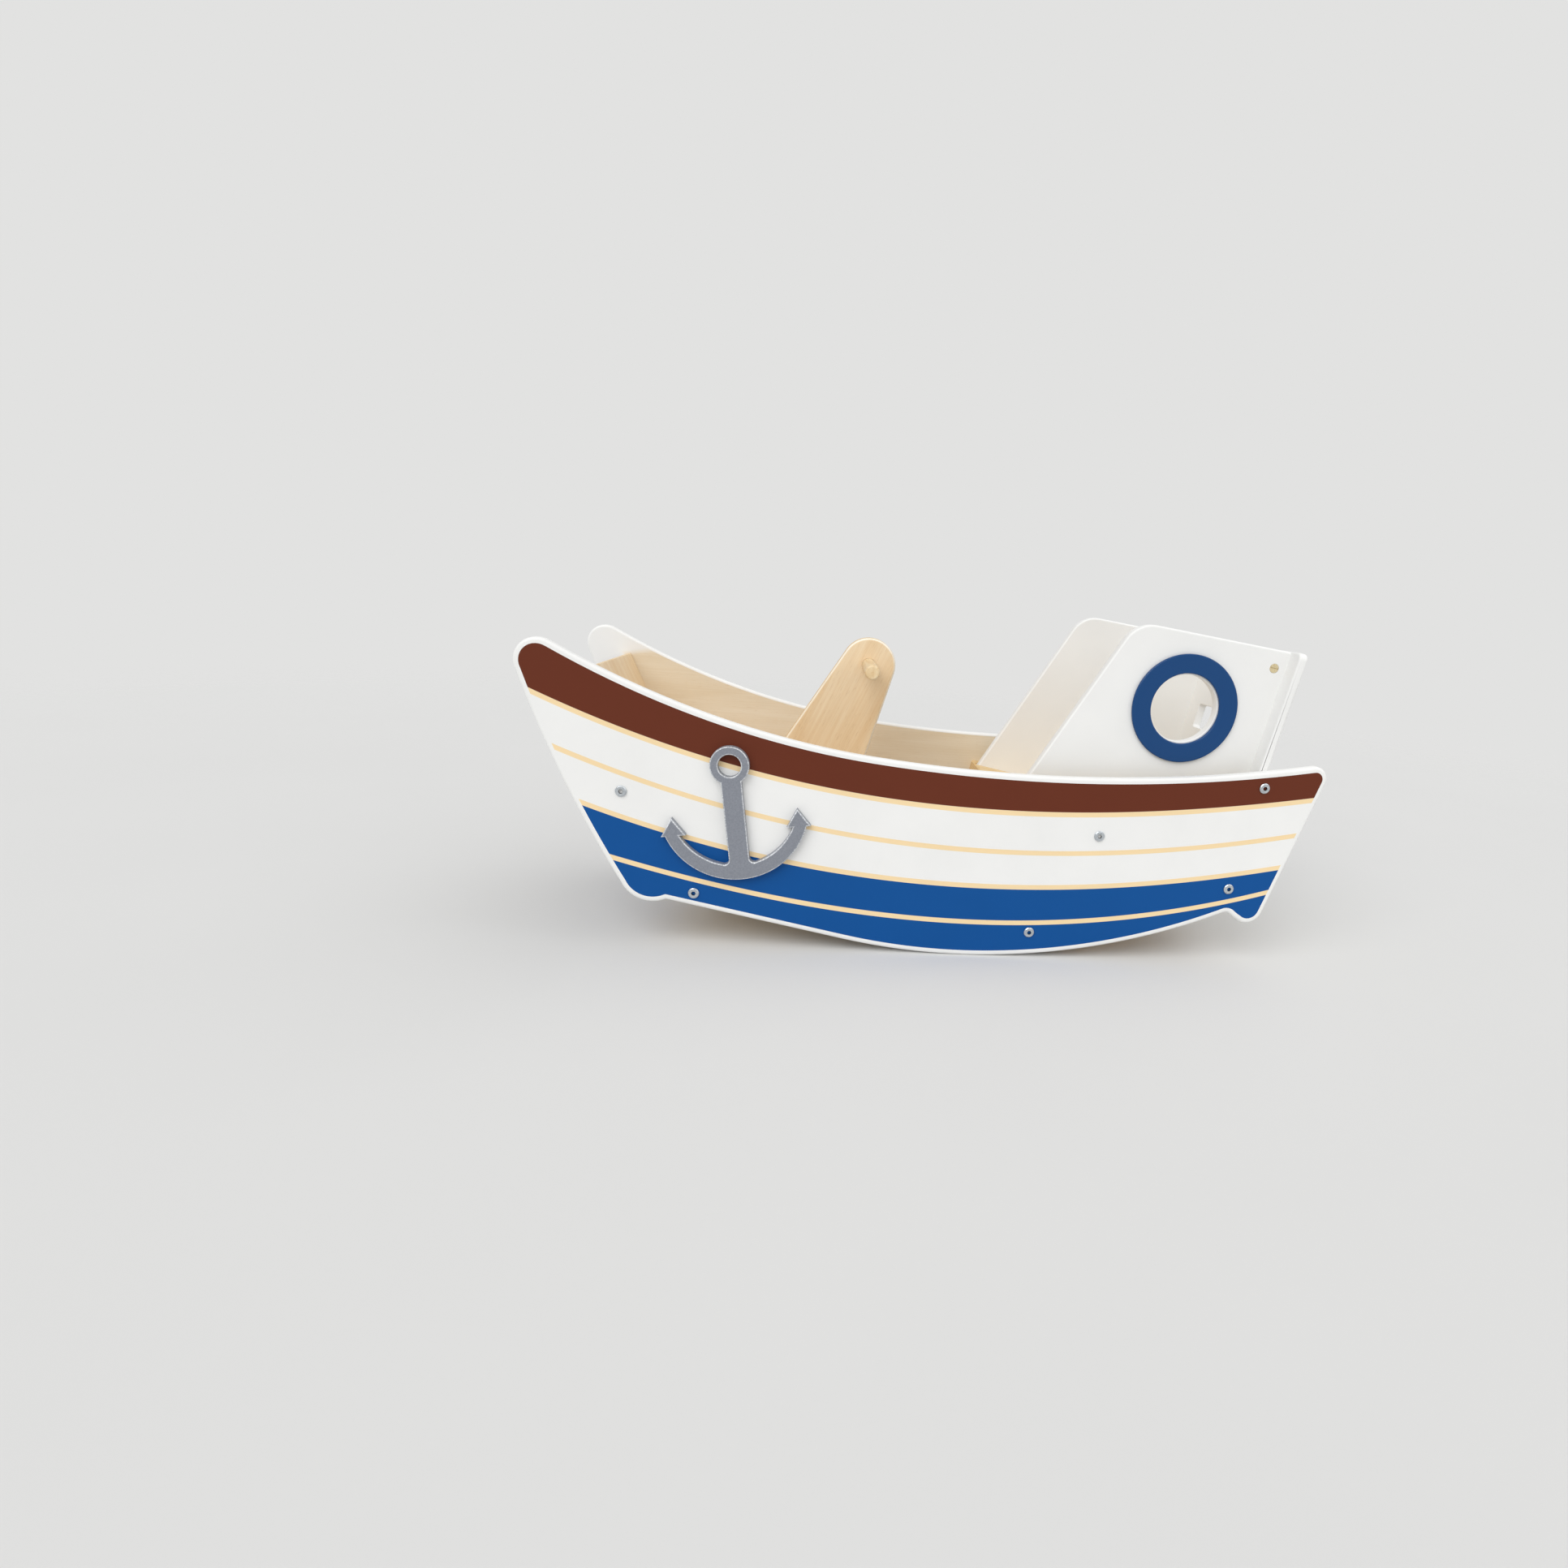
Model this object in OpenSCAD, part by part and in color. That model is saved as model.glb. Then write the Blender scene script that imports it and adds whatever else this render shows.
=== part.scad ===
// Rocking boat toy: a plywood boat that a small child sits in and rocks.
// Two curved side panels stand on the floor and hold a raked bow panel, a floor board, a seat and
// a tall stern panel. Two cabin walls stand in grooves of the seat and a post carries a cross bar to hold.
// Millimetres. +X points to the stern, -Y is the port side with the anchor, +Z is up.
// The origin is on the floor, under the middle of the boat's length and width.

/* [Hull] */
// Length from the nose to the stern
hull_len = 850; // [800:1:900]
// Width over the two side panels
hull_w = 276; // [250:1:310]
// Thickness of a side panel
side_t = 12; // [10:0.5:15]
// Thickness of the bow, stern and floor boards
board_t = 10; // [9:0.5:12]

/* [Sheer] */
// Height of the sheer, the upper edge of the side, at its lowest point
sheer_low_h = 205; // [195:1:215]
// Distance of the lowest point of the sheer behind the middle of the boat
sheer_low_x = 114; // [95:1:130]
// Radius of the sheer behind the point where its two arcs meet
sheer_aft_r = 1680; // [1550:5:1850]
// Radius of the sheer ahead of that point
sheer_fore_r = 915; // [860:5:980]
// Slope of the sheer, in degrees, where its two arcs meet
sheer_joint_angle = 6.2; // [5.6:0.1:6.8]
// Radius of the nose
nose_r = 23; // [18:0.5:28]
// Rake of the bow edge from upright, in degrees
bow_rake = 24.8; // [22:0.2:27]
// Radius of the upper stern corner
stern_corner_r = 14; // [10:0.5:18]
// Rake of the stern edge from upright, in degrees
stern_rake = 15.7; // [14:0.1:17]

/* [Rocker] */
// Radius of the rocking edge
rocker_r = 678; // [650:1:710]
// Distance of the resting point behind the middle of the boat
rocker_x = 45; // [38:1:52]
// Slope of the straight run ahead of the rocking edge, in degrees
bow_run_angle = 11.6; // [11:0.1:12.2]
// Depth of the forefoot, the stop under the bow, below that straight run
forefoot_drop = 6.7; // [5.5:0.1:8]
// Radius of the forefoot
forefoot_r = 35; // [32:0.5:38]
// Depth of the stop under the stern below the rocking edge
stern_stop_drop = 29.5; // [27:0.5:32]
// Radius of the stop under the stern
stern_stop_r = 18; // [16:0.5:20]

/* [Bow and floor] */
// Distance of the bow panel's middle behind the bow edge, square to it
bow_setback = 42; // [36:0.5:50]
// Distance of the lower end of the bow panel from the lower edge of the sides
bow_lift = 10.3; // [8:0.1:14]
// Height of the upper end of the bow panel
bow_top_h = 281; // [260:1:290]
// Height of the bow panel's bolts
bow_bolt_h = 167; // [150:1:185]
// Distance of each bow dowel from the bolt, along the panel
bow_dowel_gap = 62; // [45:1:75]
// Length of the floor board on its mid line
floor_len = 424; // [380:1:440]
// Slope of the floor board down to the stern, in degrees
floor_tilt = 4.9; // [4:0.1:6]
// Distance of the floor board's mid line from the lower edge of the sides, at the bow panel
floor_lift = 11.9; // [10.5:0.1:16]
// Distance of the front floor bolts from the bow panel
floor_front_inset = 20; // [16:0.5:30]
// Distance of the rear floor bolts from the rear end of the floor board
floor_rear_inset = 40; // [30:1:55]

/* [Stern and cabin] */
// Distance of the stern panel's mid plane ahead of the stern, at floor height
stern_inset = 108; // [100:1:114]
// Lean of the stern panel to the rear, in degrees
stern_lean = 10.5; // [9:0.1:12]
// Distance of the lower end of the stern panel from the rocking edge
stern_lift = 9; // [7.5:0.5:12]
// Height of the upper end of the stern panel
stern_top_h = 350; // [335:1:365]
// Height of the upper bolts of the stern panel
stern_upper_bolt_h = 205; // [198:1:208]
// Distance of the lower bolts from the lower end of the stern panel
stern_bolt_rise = 16.3; // [14.5:0.1:20]
// Width of a window in the stern panel
window_w = 60; // [45:1:70]
// Height of a window
window_h = 30; // [24:1:36]
// Radius of the window corners
window_r = 4; // [2:0.5:8]
// Bar between two windows of one row
window_bar = 14; // [10:0.5:24]
// Bar between the two rows of windows
window_row_bar = 26; // [18:0.5:30]
// Distance from the top of the stern panel to the upper windows
window_drop = 26; // [20:0.5:32]
// Radius of the upper corners of the stern panel
stern_top_r = 8; // [5:0.5:12]
// Thickness of a cabin wall
wall_t = 12; // [10:0.5:14]
// Gap between a cabin wall and the side panel beside it
cabin_gap = 20; // [16:1:24]
// Length of the cabin wall at the lowest height of the sheer
cabin_len = 244; // [234:1:250]
// Lean of the cabin's front edge to the rear, in degrees
cabin_front_lean = 30.2; // [28:0.2:32]
// Slope of the roof edge down to the stern, in degrees
roof_slope = 6.8; // [5:0.2:8]
// Radius of the upper front corner of a cabin wall
roof_corner_r = 34; // [24:1:44]
// Distance of a cabin bolt's nut from the stern panel
cabin_nut_inset = 13; // [11:0.5:18]
// Distance of the upper cabin bolts from the top of the stern panel
cabin_bolt_drop = 22; // [18:0.5:25]
// Distance between the upper and the lower cabin bolts
cabin_bolt_gap = 158; // [150:1:168]

/* [Porthole] */
// Distance of a porthole from the stern panel
porthole_inset = 96; // [88:1:103]
// Depth of a porthole's centre under the roof edge
porthole_drop = 81; // [75:1:87]
// Diameter of the hole in the cabin wall
porthole_d = 73.5; // [60:0.5:74]
// Inner diameter of the porthole ring
ring_hole_d = 76.5; // [74:0.5:82]
// Outer diameter of the porthole ring
ring_d = 118; // [106:1:122]
// Thickness of the porthole ring
ring_t = 4; // [3:0.5:6]

/* [Seat] */
// Thickness of the seat board
seat_t = 15; // [12:0.5:18]
// Depth of the seat from its front edge to the stern panel
seat_depth = 258; // [254:1:266]
// Height of the middle of the seat board at its bolts
seat_h = 143; // [134:1:152]
// Distance of the seat bolts from the front edge of the seat
seat_bolt_inset = 101; // [80:1:120]
// Distance of each seat dowel from the middle of the boat
seat_dowel_y = 62; // [40:1:80]
// Depth of the groove in the seat that a cabin wall stands in
groove_depth = 3; // [2:0.5:4]
// Distance of a seat bolt's nut from the end of the seat
seat_nut_inset = 40; // [38:1:46]

/* [Handle] */
// Thickness of the handle post
post_t = 15; // [12:0.5:18]
// Distance of the post's round head behind the nose
post_from_nose = 351; // [337:1:365]
// Height of the centre of the post's head, where the bar goes through
post_head_h = 298; // [280:1:315]
// Radius of the post's head
post_head_r = 31; // [26:0.5:36]
// Lean of the post's front edge to the rear, in degrees
post_front_lean = 31.6; // [28:0.2:33]
// Lean of the post's rear edge to the rear, in degrees
post_rear_lean = 15.4; // [13:0.2:18]
// Diameter of the hand bar
bar_d = 16; // [14:0.5:22]
// Length of the hand bar
bar_len = 190; // [160:1:220]
// Chamfer at the ends of the hand bar
bar_chamfer = 3; // [1:0.5:5]

/* [Anchor and life ring] */
// Thickness of the anchor and of the life ring
trim_t = 8; // [6:0.5:10]
// Distance of the anchor's eye behind the nose
anchor_from_nose = 210; // [200:1:222]
// Depth of the anchor's eye under the sheer
anchor_drop = 43; // [38:1:50]
// Lean of the anchor, in degrees
anchor_lean = 7.2; // [4:0.2:12]
// Outer diameter of the anchor's eye
eye_d = 40; // [36:0.5:44]
// Diameter of the hole in the anchor's eye
eye_hole_d = 23; // [18:0.5:26]
// Width of the anchor's shank
shank_w = 21; // [18:0.5:25]
// Depth of the anchor's crown under the centre of the eye
anchor_h = 121; // [112:1:130]
// Outer radius of the anchor's arms
arm_r = 76; // [72:0.5:80]
// Inner radius of the anchor's arms
arm_inner_r = 64; // [60:0.5:66]
// Width of the anchor's arms at the crown
crown_w = 15.5; // [13:0.5:18]
// Radius of the fillets between shank and arms
crown_fillet_r = 5; // [3:0.5:7]
// Width of an anchor fluke over its barbs
fluke_w = 25; // [21:0.5:30]
// Height of an anchor fluke from its barbs to its tip
fluke_h = 19; // [15:0.5:24]
// Depth of the anchor's barbs under the centre of the eye
barb_drop = 69; // [66:0.5:74]
// Distance of the life ring's centre behind the nose
life_from_nose = 262; // [245:1:280]
// Depth of the life ring's centre under the sheer
life_drop = 90; // [86:1:96]
// Outer diameter of the life ring
life_d = 156; // [140:1:164]
// Inner diameter of the life ring
life_hole_d = 84; // [74:1:94]

/* [Fittings] */
// Diameter of a bolt's shank
bolt_d = 6; // [5:0.5:6]
// Diameter of a bolt's head
head_d = 11.5; // [10:0.5:13]
// Height of a bolt's head
head_h = 2; // [1.5:0.1:3]
// Chamfer round a bolt's head
head_chamfer = 0.8; // [0.4:0.1:1.2]
// Width across the flats of the hexagon socket in a head
socket_w = 4; // [3:0.5:5]
// Depth of the hexagon socket
socket_depth = 2.5; // [1.5:0.1:3]
// Diameter of a barrel nut
nut_d = 10; // [9:0.5:11]
// Distance of a barrel nut from the end of its board
nut_inset = 26; // [22:1:32]
// Length of a bolt past the middle of its barrel nut
bolt_tail = 8; // [6:0.5:10]
// Width of the screwdriver slot in a barrel nut
slot_w = 1.2; // [0.8:0.1:1.6]
// Depth of that slot
slot_depth = 1; // [0.6:0.1:1.5]
// Diameter of a wooden dowel
dowel_d = 6; // [5:0.5:6]
// Length of a dowel in the board that it locates
dowel_len = 18; // [14:1:22]
// Depth of a dowel in the panel or stern board that holds it
dowel_seat = 6; // [5:0.5:7]
// Depth of a pin in the anchor or in the life ring
pin_seat = 4; // [3:0.5:5]
// Distance of each anchor pin from the middle of the anchor's height, along the shank
anchor_pin_gap = 30; // [22:1:36]

/* [Hidden] */
// Clearance between two pieces that fit into each other, all round
fit = 0.15;
// Overrun of a cut past the faces that it goes through
over = 1;
// Wood left under a blind hole for a barrel nut
nut_floor = 2;
// Facets of round bores and shafts
$fn = 48;
// Facets of a hexagon
hex_sides = 6;
// Steps along a long arc and round a corner
long_steps = 40;
short_steps = 14;
// Shares of the base of the handle post at which its bolts stand
post_bolt_shares = [0.28, 0.72];

inner_w = hull_w - 2 * side_t;
cabin_w = inner_w - 2 * cabin_gap;
bolt_bore = bolt_d + 2 * fit;
nut_bore = nut_d + 2 * fit;
dowel_bore = dowel_d + 2 * fit;

// Plane geometry in the side view, where a point is [x, z]

function dir(a) = [cos(a), sin(a)];
function angle_of(v) = atan2(v[1], v[0]);
function full_angle(v) = (angle_of(v) + 360) % 360;
function unit(v) = v / norm(v);
function side_of(u, v) = u[0] * v[1] - u[1] * v[0];

// The crossing of a line through p at angle a with a line through q at angle b
function meet(p, a, q, b) = p + dir(a) * side_of(q - p, dir(b)) / side_of(dir(a), dir(b));

// The point where a line from p at angle a first meets a circle about c
function reach(p, a, c, r) =
    let (b = (p - c) * dir(a))
    p - (b + sqrt(b * b - (p - c) * (p - c) + r * r)) * dir(a);

// The point on a line through p at angle a that lies at height z
function at_height(p, a, z) = p + dir(a) * (z - p[1]) / sin(a);

// Points on an arc about c from angle a0 to angle a1, in n steps
function arc(c, r, a0, a1, n) = [for (i = [0:n]) c + r * dir(a0 + (a1 - a0) * i / n)];

// A corner b between its neighbours a and c, rounded to radius r
function round_corner(a, b, c, r, n) =
    let (u = unit(a - b), v = unit(c - b))
    let (half = acos(u * v) / 2)
    let (mid = b + unit(u + v) * r / sin(half))
    let (start = angle_of(b + u * r / tan(half) - mid))
    let (turn = side_of(u, v) > 0 ? half * 2 - 180 : 180 - half * 2)
    arc(mid, r, start, start + turn, n);

// A closed outline with every corner rounded to radius r
function rounded(pts, r, n) = [
    for (i = [0:len(pts) - 1])
        each round_corner(pts[(i + len(pts) - 1) % len(pts)], pts[i], pts[(i + 1) % len(pts)], r, n)
];

function box_points(w, h) = [[-w, -h] / 2, [w, -h] / 2, [w, h] / 2, [-w, h] / 2];

// The sheer: two arcs with one tangent where they meet

sheer_aft_c = [sheer_low_x, sheer_low_h + sheer_aft_r];
sheer_joint = sheer_aft_c + sheer_aft_r * dir(270 - sheer_joint_angle);
sheer_fore_c = sheer_joint - sheer_fore_r * dir(270 - sheer_joint_angle);

// The height at x of the lower half of a circle about c
function below(c, r, x) = c[1] - sqrt(r * r - (x - c[0]) * (x - c[0]));
function sheer_z(x) = x < sheer_joint[0] ? below(sheer_fore_c, sheer_fore_r, x)
    : below(sheer_aft_c, sheer_aft_r, x);

// The rocking edge: an arc with a straight run ahead of it

rocker_c = [rocker_x, rocker_r];
run_start = rocker_c + rocker_r * dir(270 - bow_run_angle);

// The point at a distance above the straight run on a line through p at angle a
function above_run(p, a, distance) =
    meet(p, a, run_start + distance * dir(90 - bow_run_angle), -bow_run_angle);

// The bow: a nose that runs into the sheer, a straight raked edge and the forefoot

nose_x = nose_r - hull_len / 2;
nose_c = [nose_x, below(sheer_fore_c, sheer_fore_r + nose_r, nose_x)];
nose_angle = angle_of(nose_c - sheer_fore_c) + 180;
bow_out = 180 + bow_rake;
bow_down = bow_rake - 90;
forefoot_line = nose_c + (nose_r - forefoot_r) * dir(bow_out);
forefoot_c = above_run(forefoot_line, bow_down, forefoot_r - forefoot_drop);
run_end = reach(run_start, 180 - bow_run_angle, forefoot_c, forefoot_r);

// The stern: a rounded upper corner, a straight raked edge and the rear stop

corner_x = hull_len / 2 - stern_corner_r;
corner_c = [corner_x, below(sheer_aft_c, sheer_aft_r + stern_corner_r, corner_x)];
corner_angle = angle_of(sheer_aft_c - corner_c);
stern_edge_up = 90 - stern_rake;
stop_line = corner_c + (stern_corner_r - stern_stop_r) * dir(-stern_rake);
stop_gap = rocker_r - stern_stop_r + stern_stop_drop;
stop_c = reach(at_height(stop_line, stern_edge_up, 0), stern_edge_up, rocker_c, stop_gap);
stop_along = (rocker_r * rocker_r - stern_stop_r * stern_stop_r + stop_gap * stop_gap) / 2 / stop_gap;
stop_turn = acos(stop_along / rocker_r);
rocker_end = full_angle(stop_c - rocker_c) - stop_turn;
notch = rocker_c + rocker_r * dir(rocker_end);

hull_outline = concat(
    arc(sheer_aft_c, sheer_aft_r, corner_angle + 180, 270 - sheer_joint_angle, long_steps / 2),
    arc(sheer_fore_c, sheer_fore_r, 270 - sheer_joint_angle, nose_angle + 180, long_steps / 2),
    arc(nose_c, nose_r, nose_angle, bow_out, short_steps),
    arc(forefoot_c, forefoot_r, bow_out, full_angle(run_end - forefoot_c), short_steps),
    arc(rocker_c, rocker_r, 270 - bow_run_angle, rocker_end, long_steps),
    arc(stop_c, stern_stop_r, full_angle(notch - stop_c), 360 - stern_rake, short_steps),
    arc(corner_c, stern_corner_r, -stern_rake, corner_angle, short_steps)
);

// The boards, as mid lines in the side view

bow_mid = nose_c + (nose_r - bow_setback) * dir(bow_out);
bow_face = nose_c + (nose_r - bow_setback - board_t / 2) * dir(bow_out);
bow_bolt = at_height(bow_mid, bow_down, bow_bolt_h);

floor_bow = above_run(bow_face, bow_down, floor_lift);
floor_aft = floor_bow + floor_len * dir(-floor_tilt);
floor_front_bolt = floor_bow + floor_front_inset * dir(-floor_tilt);
floor_rear_bolt = floor_aft - floor_rear_inset * dir(-floor_tilt);
floor_up = 90 - floor_tilt;
floor_top = floor_bow + board_t / 2 * dir(floor_up);

stern_foot = [hull_len / 2 - stern_inset, 0];
stern_up = 90 - stern_lean;
stern_face = stern_foot - board_t / 2 * dir(-stern_lean);
stern_upper_bolt = at_height(stern_foot, stern_up, stern_upper_bolt_h);
stern_low = norm(reach(stern_foot, stern_up, rocker_c, rocker_r - stern_lift) - stern_foot);
stern_lower_bolt = stern_foot + (stern_low + stern_bolt_rise) * dir(stern_up);
stern_top = stern_top_h / sin(stern_up);

// The seat stands square to the stern panel
seat_bolt = at_height(
    stern_face - (seat_depth - seat_bolt_inset) * dir(-stern_lean), stern_up, seat_h
);
board_bolts = [bow_bolt, floor_front_bolt, floor_rear_bolt, stern_upper_bolt, stern_lower_bolt];

// The cabin wall between the stern panel, the roof edge, the slanting front and its groove in the seat

cabin_top = at_height(stern_face, stern_up, stern_top_h);
cabin_sill = at_height(stern_face, stern_up, sheer_low_h) - [cabin_len, 0];
cabin_front = 90 - cabin_front_lean;
cabin_base = seat_bolt + (seat_t / 2 - groove_depth) * dir(stern_up);
cabin_peak = meet(cabin_top, -roof_slope, cabin_sill, cabin_front);
cabin_foot = meet(cabin_base, -stern_lean, cabin_sill, cabin_front);
cabin_heel = meet(cabin_base, -stern_lean, stern_face, stern_up);
porthole_x = at_height(stern_face, stern_up, stern_top_h - porthole_drop)[0] - porthole_inset;
porthole = meet(cabin_top, -roof_slope, [porthole_x, 0], 90) - [0, porthole_drop];
cabin_upper = stern_top - cabin_bolt_drop;
cabin_bolt_places = [cabin_upper, cabin_upper - cabin_bolt_gap];

cabin_outline = concat(
    [cabin_heel, cabin_top],
    round_corner(cabin_top, cabin_peak, cabin_foot, roof_corner_r, short_steps),
    [cabin_foot]
);

// The handle post: a round head with two straight edges down to the floor board

post_head = [post_from_nose - hull_len / 2, post_head_h];
post_front = post_head + post_head_r * dir(180 - post_front_lean);
post_rear = post_head + post_head_r * dir(-post_rear_lean);
post_toe = meet(post_front, 90 - post_front_lean, floor_top, -floor_tilt);
post_heel = meet(post_rear, 90 - post_rear_lean, floor_top, -floor_tilt);
post_bolt_places = [for (s = post_bolt_shares) post_toe + s * (post_heel - post_toe)];

post_outline = concat(
    arc(post_head, post_head_r, -post_rear_lean, 180 - post_front_lean, long_steps / 2),
    [post_toe, post_heel]
);

// The trim on the outsides of the two side panels

anchor_x = anchor_from_nose - hull_len / 2;
anchor_eye = [anchor_x, sheer_z(anchor_x) - anchor_drop];
life_x = life_from_nose - hull_len / 2;
life_c = [life_x, sheer_z(life_x) - life_drop];
life_pin_r = (life_d + life_hole_d) / 4;
anchor_pins_at = [
    for (s = [-1, 1]) anchor_eye + (anchor_h / 2 + s * anchor_pin_gap) * dir(270 + anchor_lean)
];
life_pins_at = [for (s = [-1, 1]) life_c + [s * life_pin_r, 0]];

// Placing helpers

// Stands a flat shape of the side view up, from y0 to y0 + t
module slab(y0, t) {
    translate([0, y0 + t, 0]) rotate([90, 0, 0]) linear_extrude(t) children();
}

// Draws its children on the port side and mirrored on the starboard side
module both_sides() {
    children();
    mirror([0, 1, 0]) children();
}

// A bar along Y through a point of the side view, from y0 to y1
module cross_bar(p, d, y0, y1) {
    translate([p[0], y0, p[1]]) rotate([-90, 0, 0]) cylinder(d = d, h = y1 - y0);
}

// Moves to a point of the side view and turns so that +X runs down to the stern by angle a
module turned(p, a) {
    translate([p[0], 0, p[1]]) rotate([0, a, 0]) children();
}

// Fittings

// A bolt along -Z with its head above the XY plane
module bolt(length) {
    profile = [
        [0, head_h], [head_d / 2 - head_chamfer, head_h], [head_d / 2, head_h - head_chamfer],
        [head_d / 2, 0], [bolt_d / 2, 0], [bolt_d / 2, -length], [0, -length]
    ];
    difference() {
        rotate_extrude() polygon(profile);
        translate([0, 0, head_h - socket_depth])
            cylinder(d = socket_w / cos(180 / hex_sides), h = socket_depth + over, $fn = hex_sides);
    }
}

// A bolt along +Y into the hull, with its head on the port face of the panel
module side_bolt(p, length) {
    translate([p[0], -hull_w / 2, p[1]]) rotate([90, 0, 0]) bolt(length);
}

// A barrel nut along Z in a board of thickness t, with floor_t of wood left under it. Its cross
// bore lies in the middle of the board, at the given turn about Z, and its slot shows on top.
module barrel_nut(t, floor_t, turn) {
    difference() {
        translate([0, 0, floor_t - t / 2]) cylinder(d = nut_d, h = t - floor_t);
        rotate([0, 90, turn]) cylinder(d = bolt_bore, h = nut_d + 2 * over, center = true);
        translate([0, 0, t / 2]) rotate([0, 0, turn])
            cube([nut_d + 2 * over, slot_w, 2 * slot_depth], center = true);
    }
}

side_nut_y = nut_inset - inner_w / 2;
seat_nut_y = seat_nut_inset - inner_w / 2;
cabin_mid_y = (wall_t - cabin_w) / 2;

// A blind bore along Y in the port end of a board, for a bolt whose nut is that far in
module end_bore(p, inset) {
    cross_bar(p, bolt_bore, -inner_w / 2 - over, inset + bolt_tail + over - inner_w / 2);
}

// Side panels

module side_panel() {
    difference() {
        slab(-hull_w / 2, side_t) polygon(hull_outline);
        for (p = concat(board_bolts, [seat_bolt]))
            cross_bar(p, bolt_bore, -hull_w / 2 - over, over - inner_w / 2);
        for (s = [-1, 1])
            cross_bar(
                bow_bolt + s * bow_dowel_gap * dir(bow_down), dowel_bore,
                -inner_w / 2 - dowel_seat - fit, over - inner_w / 2
            );
    }
}

// Blind holes in the outer face of a panel for the pins of its trim
module pin_holes(places) {
    for (p = places)
        cross_bar(p, dowel_bore, -hull_w / 2 - over, dowel_seat + fit - hull_w / 2);
}

module port_side_panel() {
    color("white") difference() {
        side_panel();
        pin_holes(anchor_pins_at);
    }
}

module starboard_side_panel() {
    color("white") mirror([0, 1, 0]) difference() {
        side_panel();
        pin_holes(life_pins_at);
    }
}

// Boards between the sides

module bow_panel() {
    low = above_run(bow_mid, bow_down, bow_lift);
    top = at_height(bow_mid, bow_down, bow_top_h);
    half = board_t / 2 * dir(bow_out);
    color("burlywood") difference() {
        slab(-inner_w / 2, inner_w) polygon([low + half, top + half, top - half, low - half]);
        both_sides() {
            end_bore(bow_bolt, nut_inset);
            for (s = [-1, 1])
                cross_bar(
                    bow_bolt + s * bow_dowel_gap * dir(bow_down), dowel_bore,
                    -inner_w / 2 - over, dowel_len + fit - inner_w / 2
                );
            translate([0, side_nut_y, 0]) turned(bow_bolt, -bow_rake)
                rotate([0, 90, 0]) translate([0, 0, nut_floor - board_t / 2])
                cylinder(d = nut_bore, h = board_t);
        }
    }
}

module floor_board() {
    low = floor_bow - board_t / 2 * dir(floor_up);
    aft = board_t / 2 * dir(floor_up);
    color("burlywood") difference() {
        slab(-inner_w / 2, inner_w) polygon([
            meet(low, -floor_tilt, bow_face, bow_down), floor_aft - aft,
            floor_aft + aft, meet(floor_top, -floor_tilt, bow_face, bow_down)
        ]);
        both_sides() for (p = [floor_front_bolt, floor_rear_bolt]) {
            end_bore(p, nut_inset);
            translate([0, side_nut_y, 0]) turned(p, floor_tilt)
                translate([0, 0, -board_t / 2 - nut_floor]) cylinder(d = nut_bore, h = board_t);
        }
        for (p = post_bolt_places) turned(p, floor_tilt)
            cylinder(d = bolt_bore, h = 2 * (board_t + over), center = true);
    }
}

// The stern panel's own frame: X square to the panel, Z up along it
module in_stern() {
    turned(stern_foot, stern_lean) children();
}

module windows() {
    row_gap = window_h + window_row_bar;
    first = stern_top - window_drop - window_h / 2;
    for (row = [0, 1], s = [-1, 1])
        translate([s * (window_w + window_bar) / 2, first - row * row_gap])
            polygon(rounded(box_points(window_w, window_h), window_r, short_steps / 2));
}

module stern_panel() {
    half = inner_w / 2;
    top = [[half, stern_top], [-half, stern_top]];
    low = [[-half, stern_low], [half, stern_low]];
    outline = concat(
        low,
        round_corner(low[1], top[0], top[1], stern_top_r, short_steps),
        round_corner(top[0], top[1], low[0], stern_top_r, short_steps)
    );
    color("white") difference() {
        in_stern() rotate([90, 0, 90]) linear_extrude(board_t, center = true) difference() {
            polygon(outline);
            windows();
        }
        both_sides() {
            for (p = [stern_upper_bolt, stern_lower_bolt]) {
                end_bore(p, nut_inset);
                translate([0, side_nut_y, 0]) turned(p, stern_lean) rotate([0, 90, 0])
                    cylinder(d = nut_bore, h = board_t + 2 * over, center = true);
            }
            in_stern() for (z = cabin_bolt_places)
                translate([0, cabin_mid_y, z]) rotate([0, 90, 0])
                    cylinder(d = bolt_bore, h = board_t + 2 * over, center = true);
            seat_dowel_bore(-board_t / 2 - over, fit + dowel_seat - board_t / 2);
        }
    }
}

// A bore for a seat dowel, from x0 to x1 square to the stern panel
module seat_dowel_bore(x0, x1) {
    place = side_of(dir(-stern_lean), seat_bolt - stern_foot);
    in_stern() translate([x0, -seat_dowel_y, place]) rotate([0, 90, 0])
        cylinder(d = dowel_bore, h = x1 - x0);
}

module seat_board() {
    half = seat_t / 2 * dir(stern_up);
    along = dir(-stern_lean);
    rear = meet(seat_bolt, -stern_lean, stern_face, stern_up);
    front = rear - seat_depth * along;
    groove = [
        cabin_base - seat_depth * along, cabin_base + seat_depth * along,
        cabin_base + seat_depth * along + half, cabin_base - seat_depth * along + half
    ];
    color("burlywood") difference() {
        slab(-inner_w / 2, inner_w) polygon([front - half, rear - half, rear + half, front + half]);
        both_sides() {
            slab(-cabin_w / 2 - fit, wall_t + 2 * fit) polygon(groove);
            end_bore(seat_bolt, seat_nut_inset);
            translate([0, seat_nut_y, 0]) turned(seat_bolt, stern_lean)
                translate([0, 0, -seat_t / 2 - nut_floor]) cylinder(d = nut_bore, h = seat_t);
            seat_dowel_bore(-board_t / 2 - dowel_len - fit, over - board_t / 2);
        }
    }
}

// Cabin walls

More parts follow.
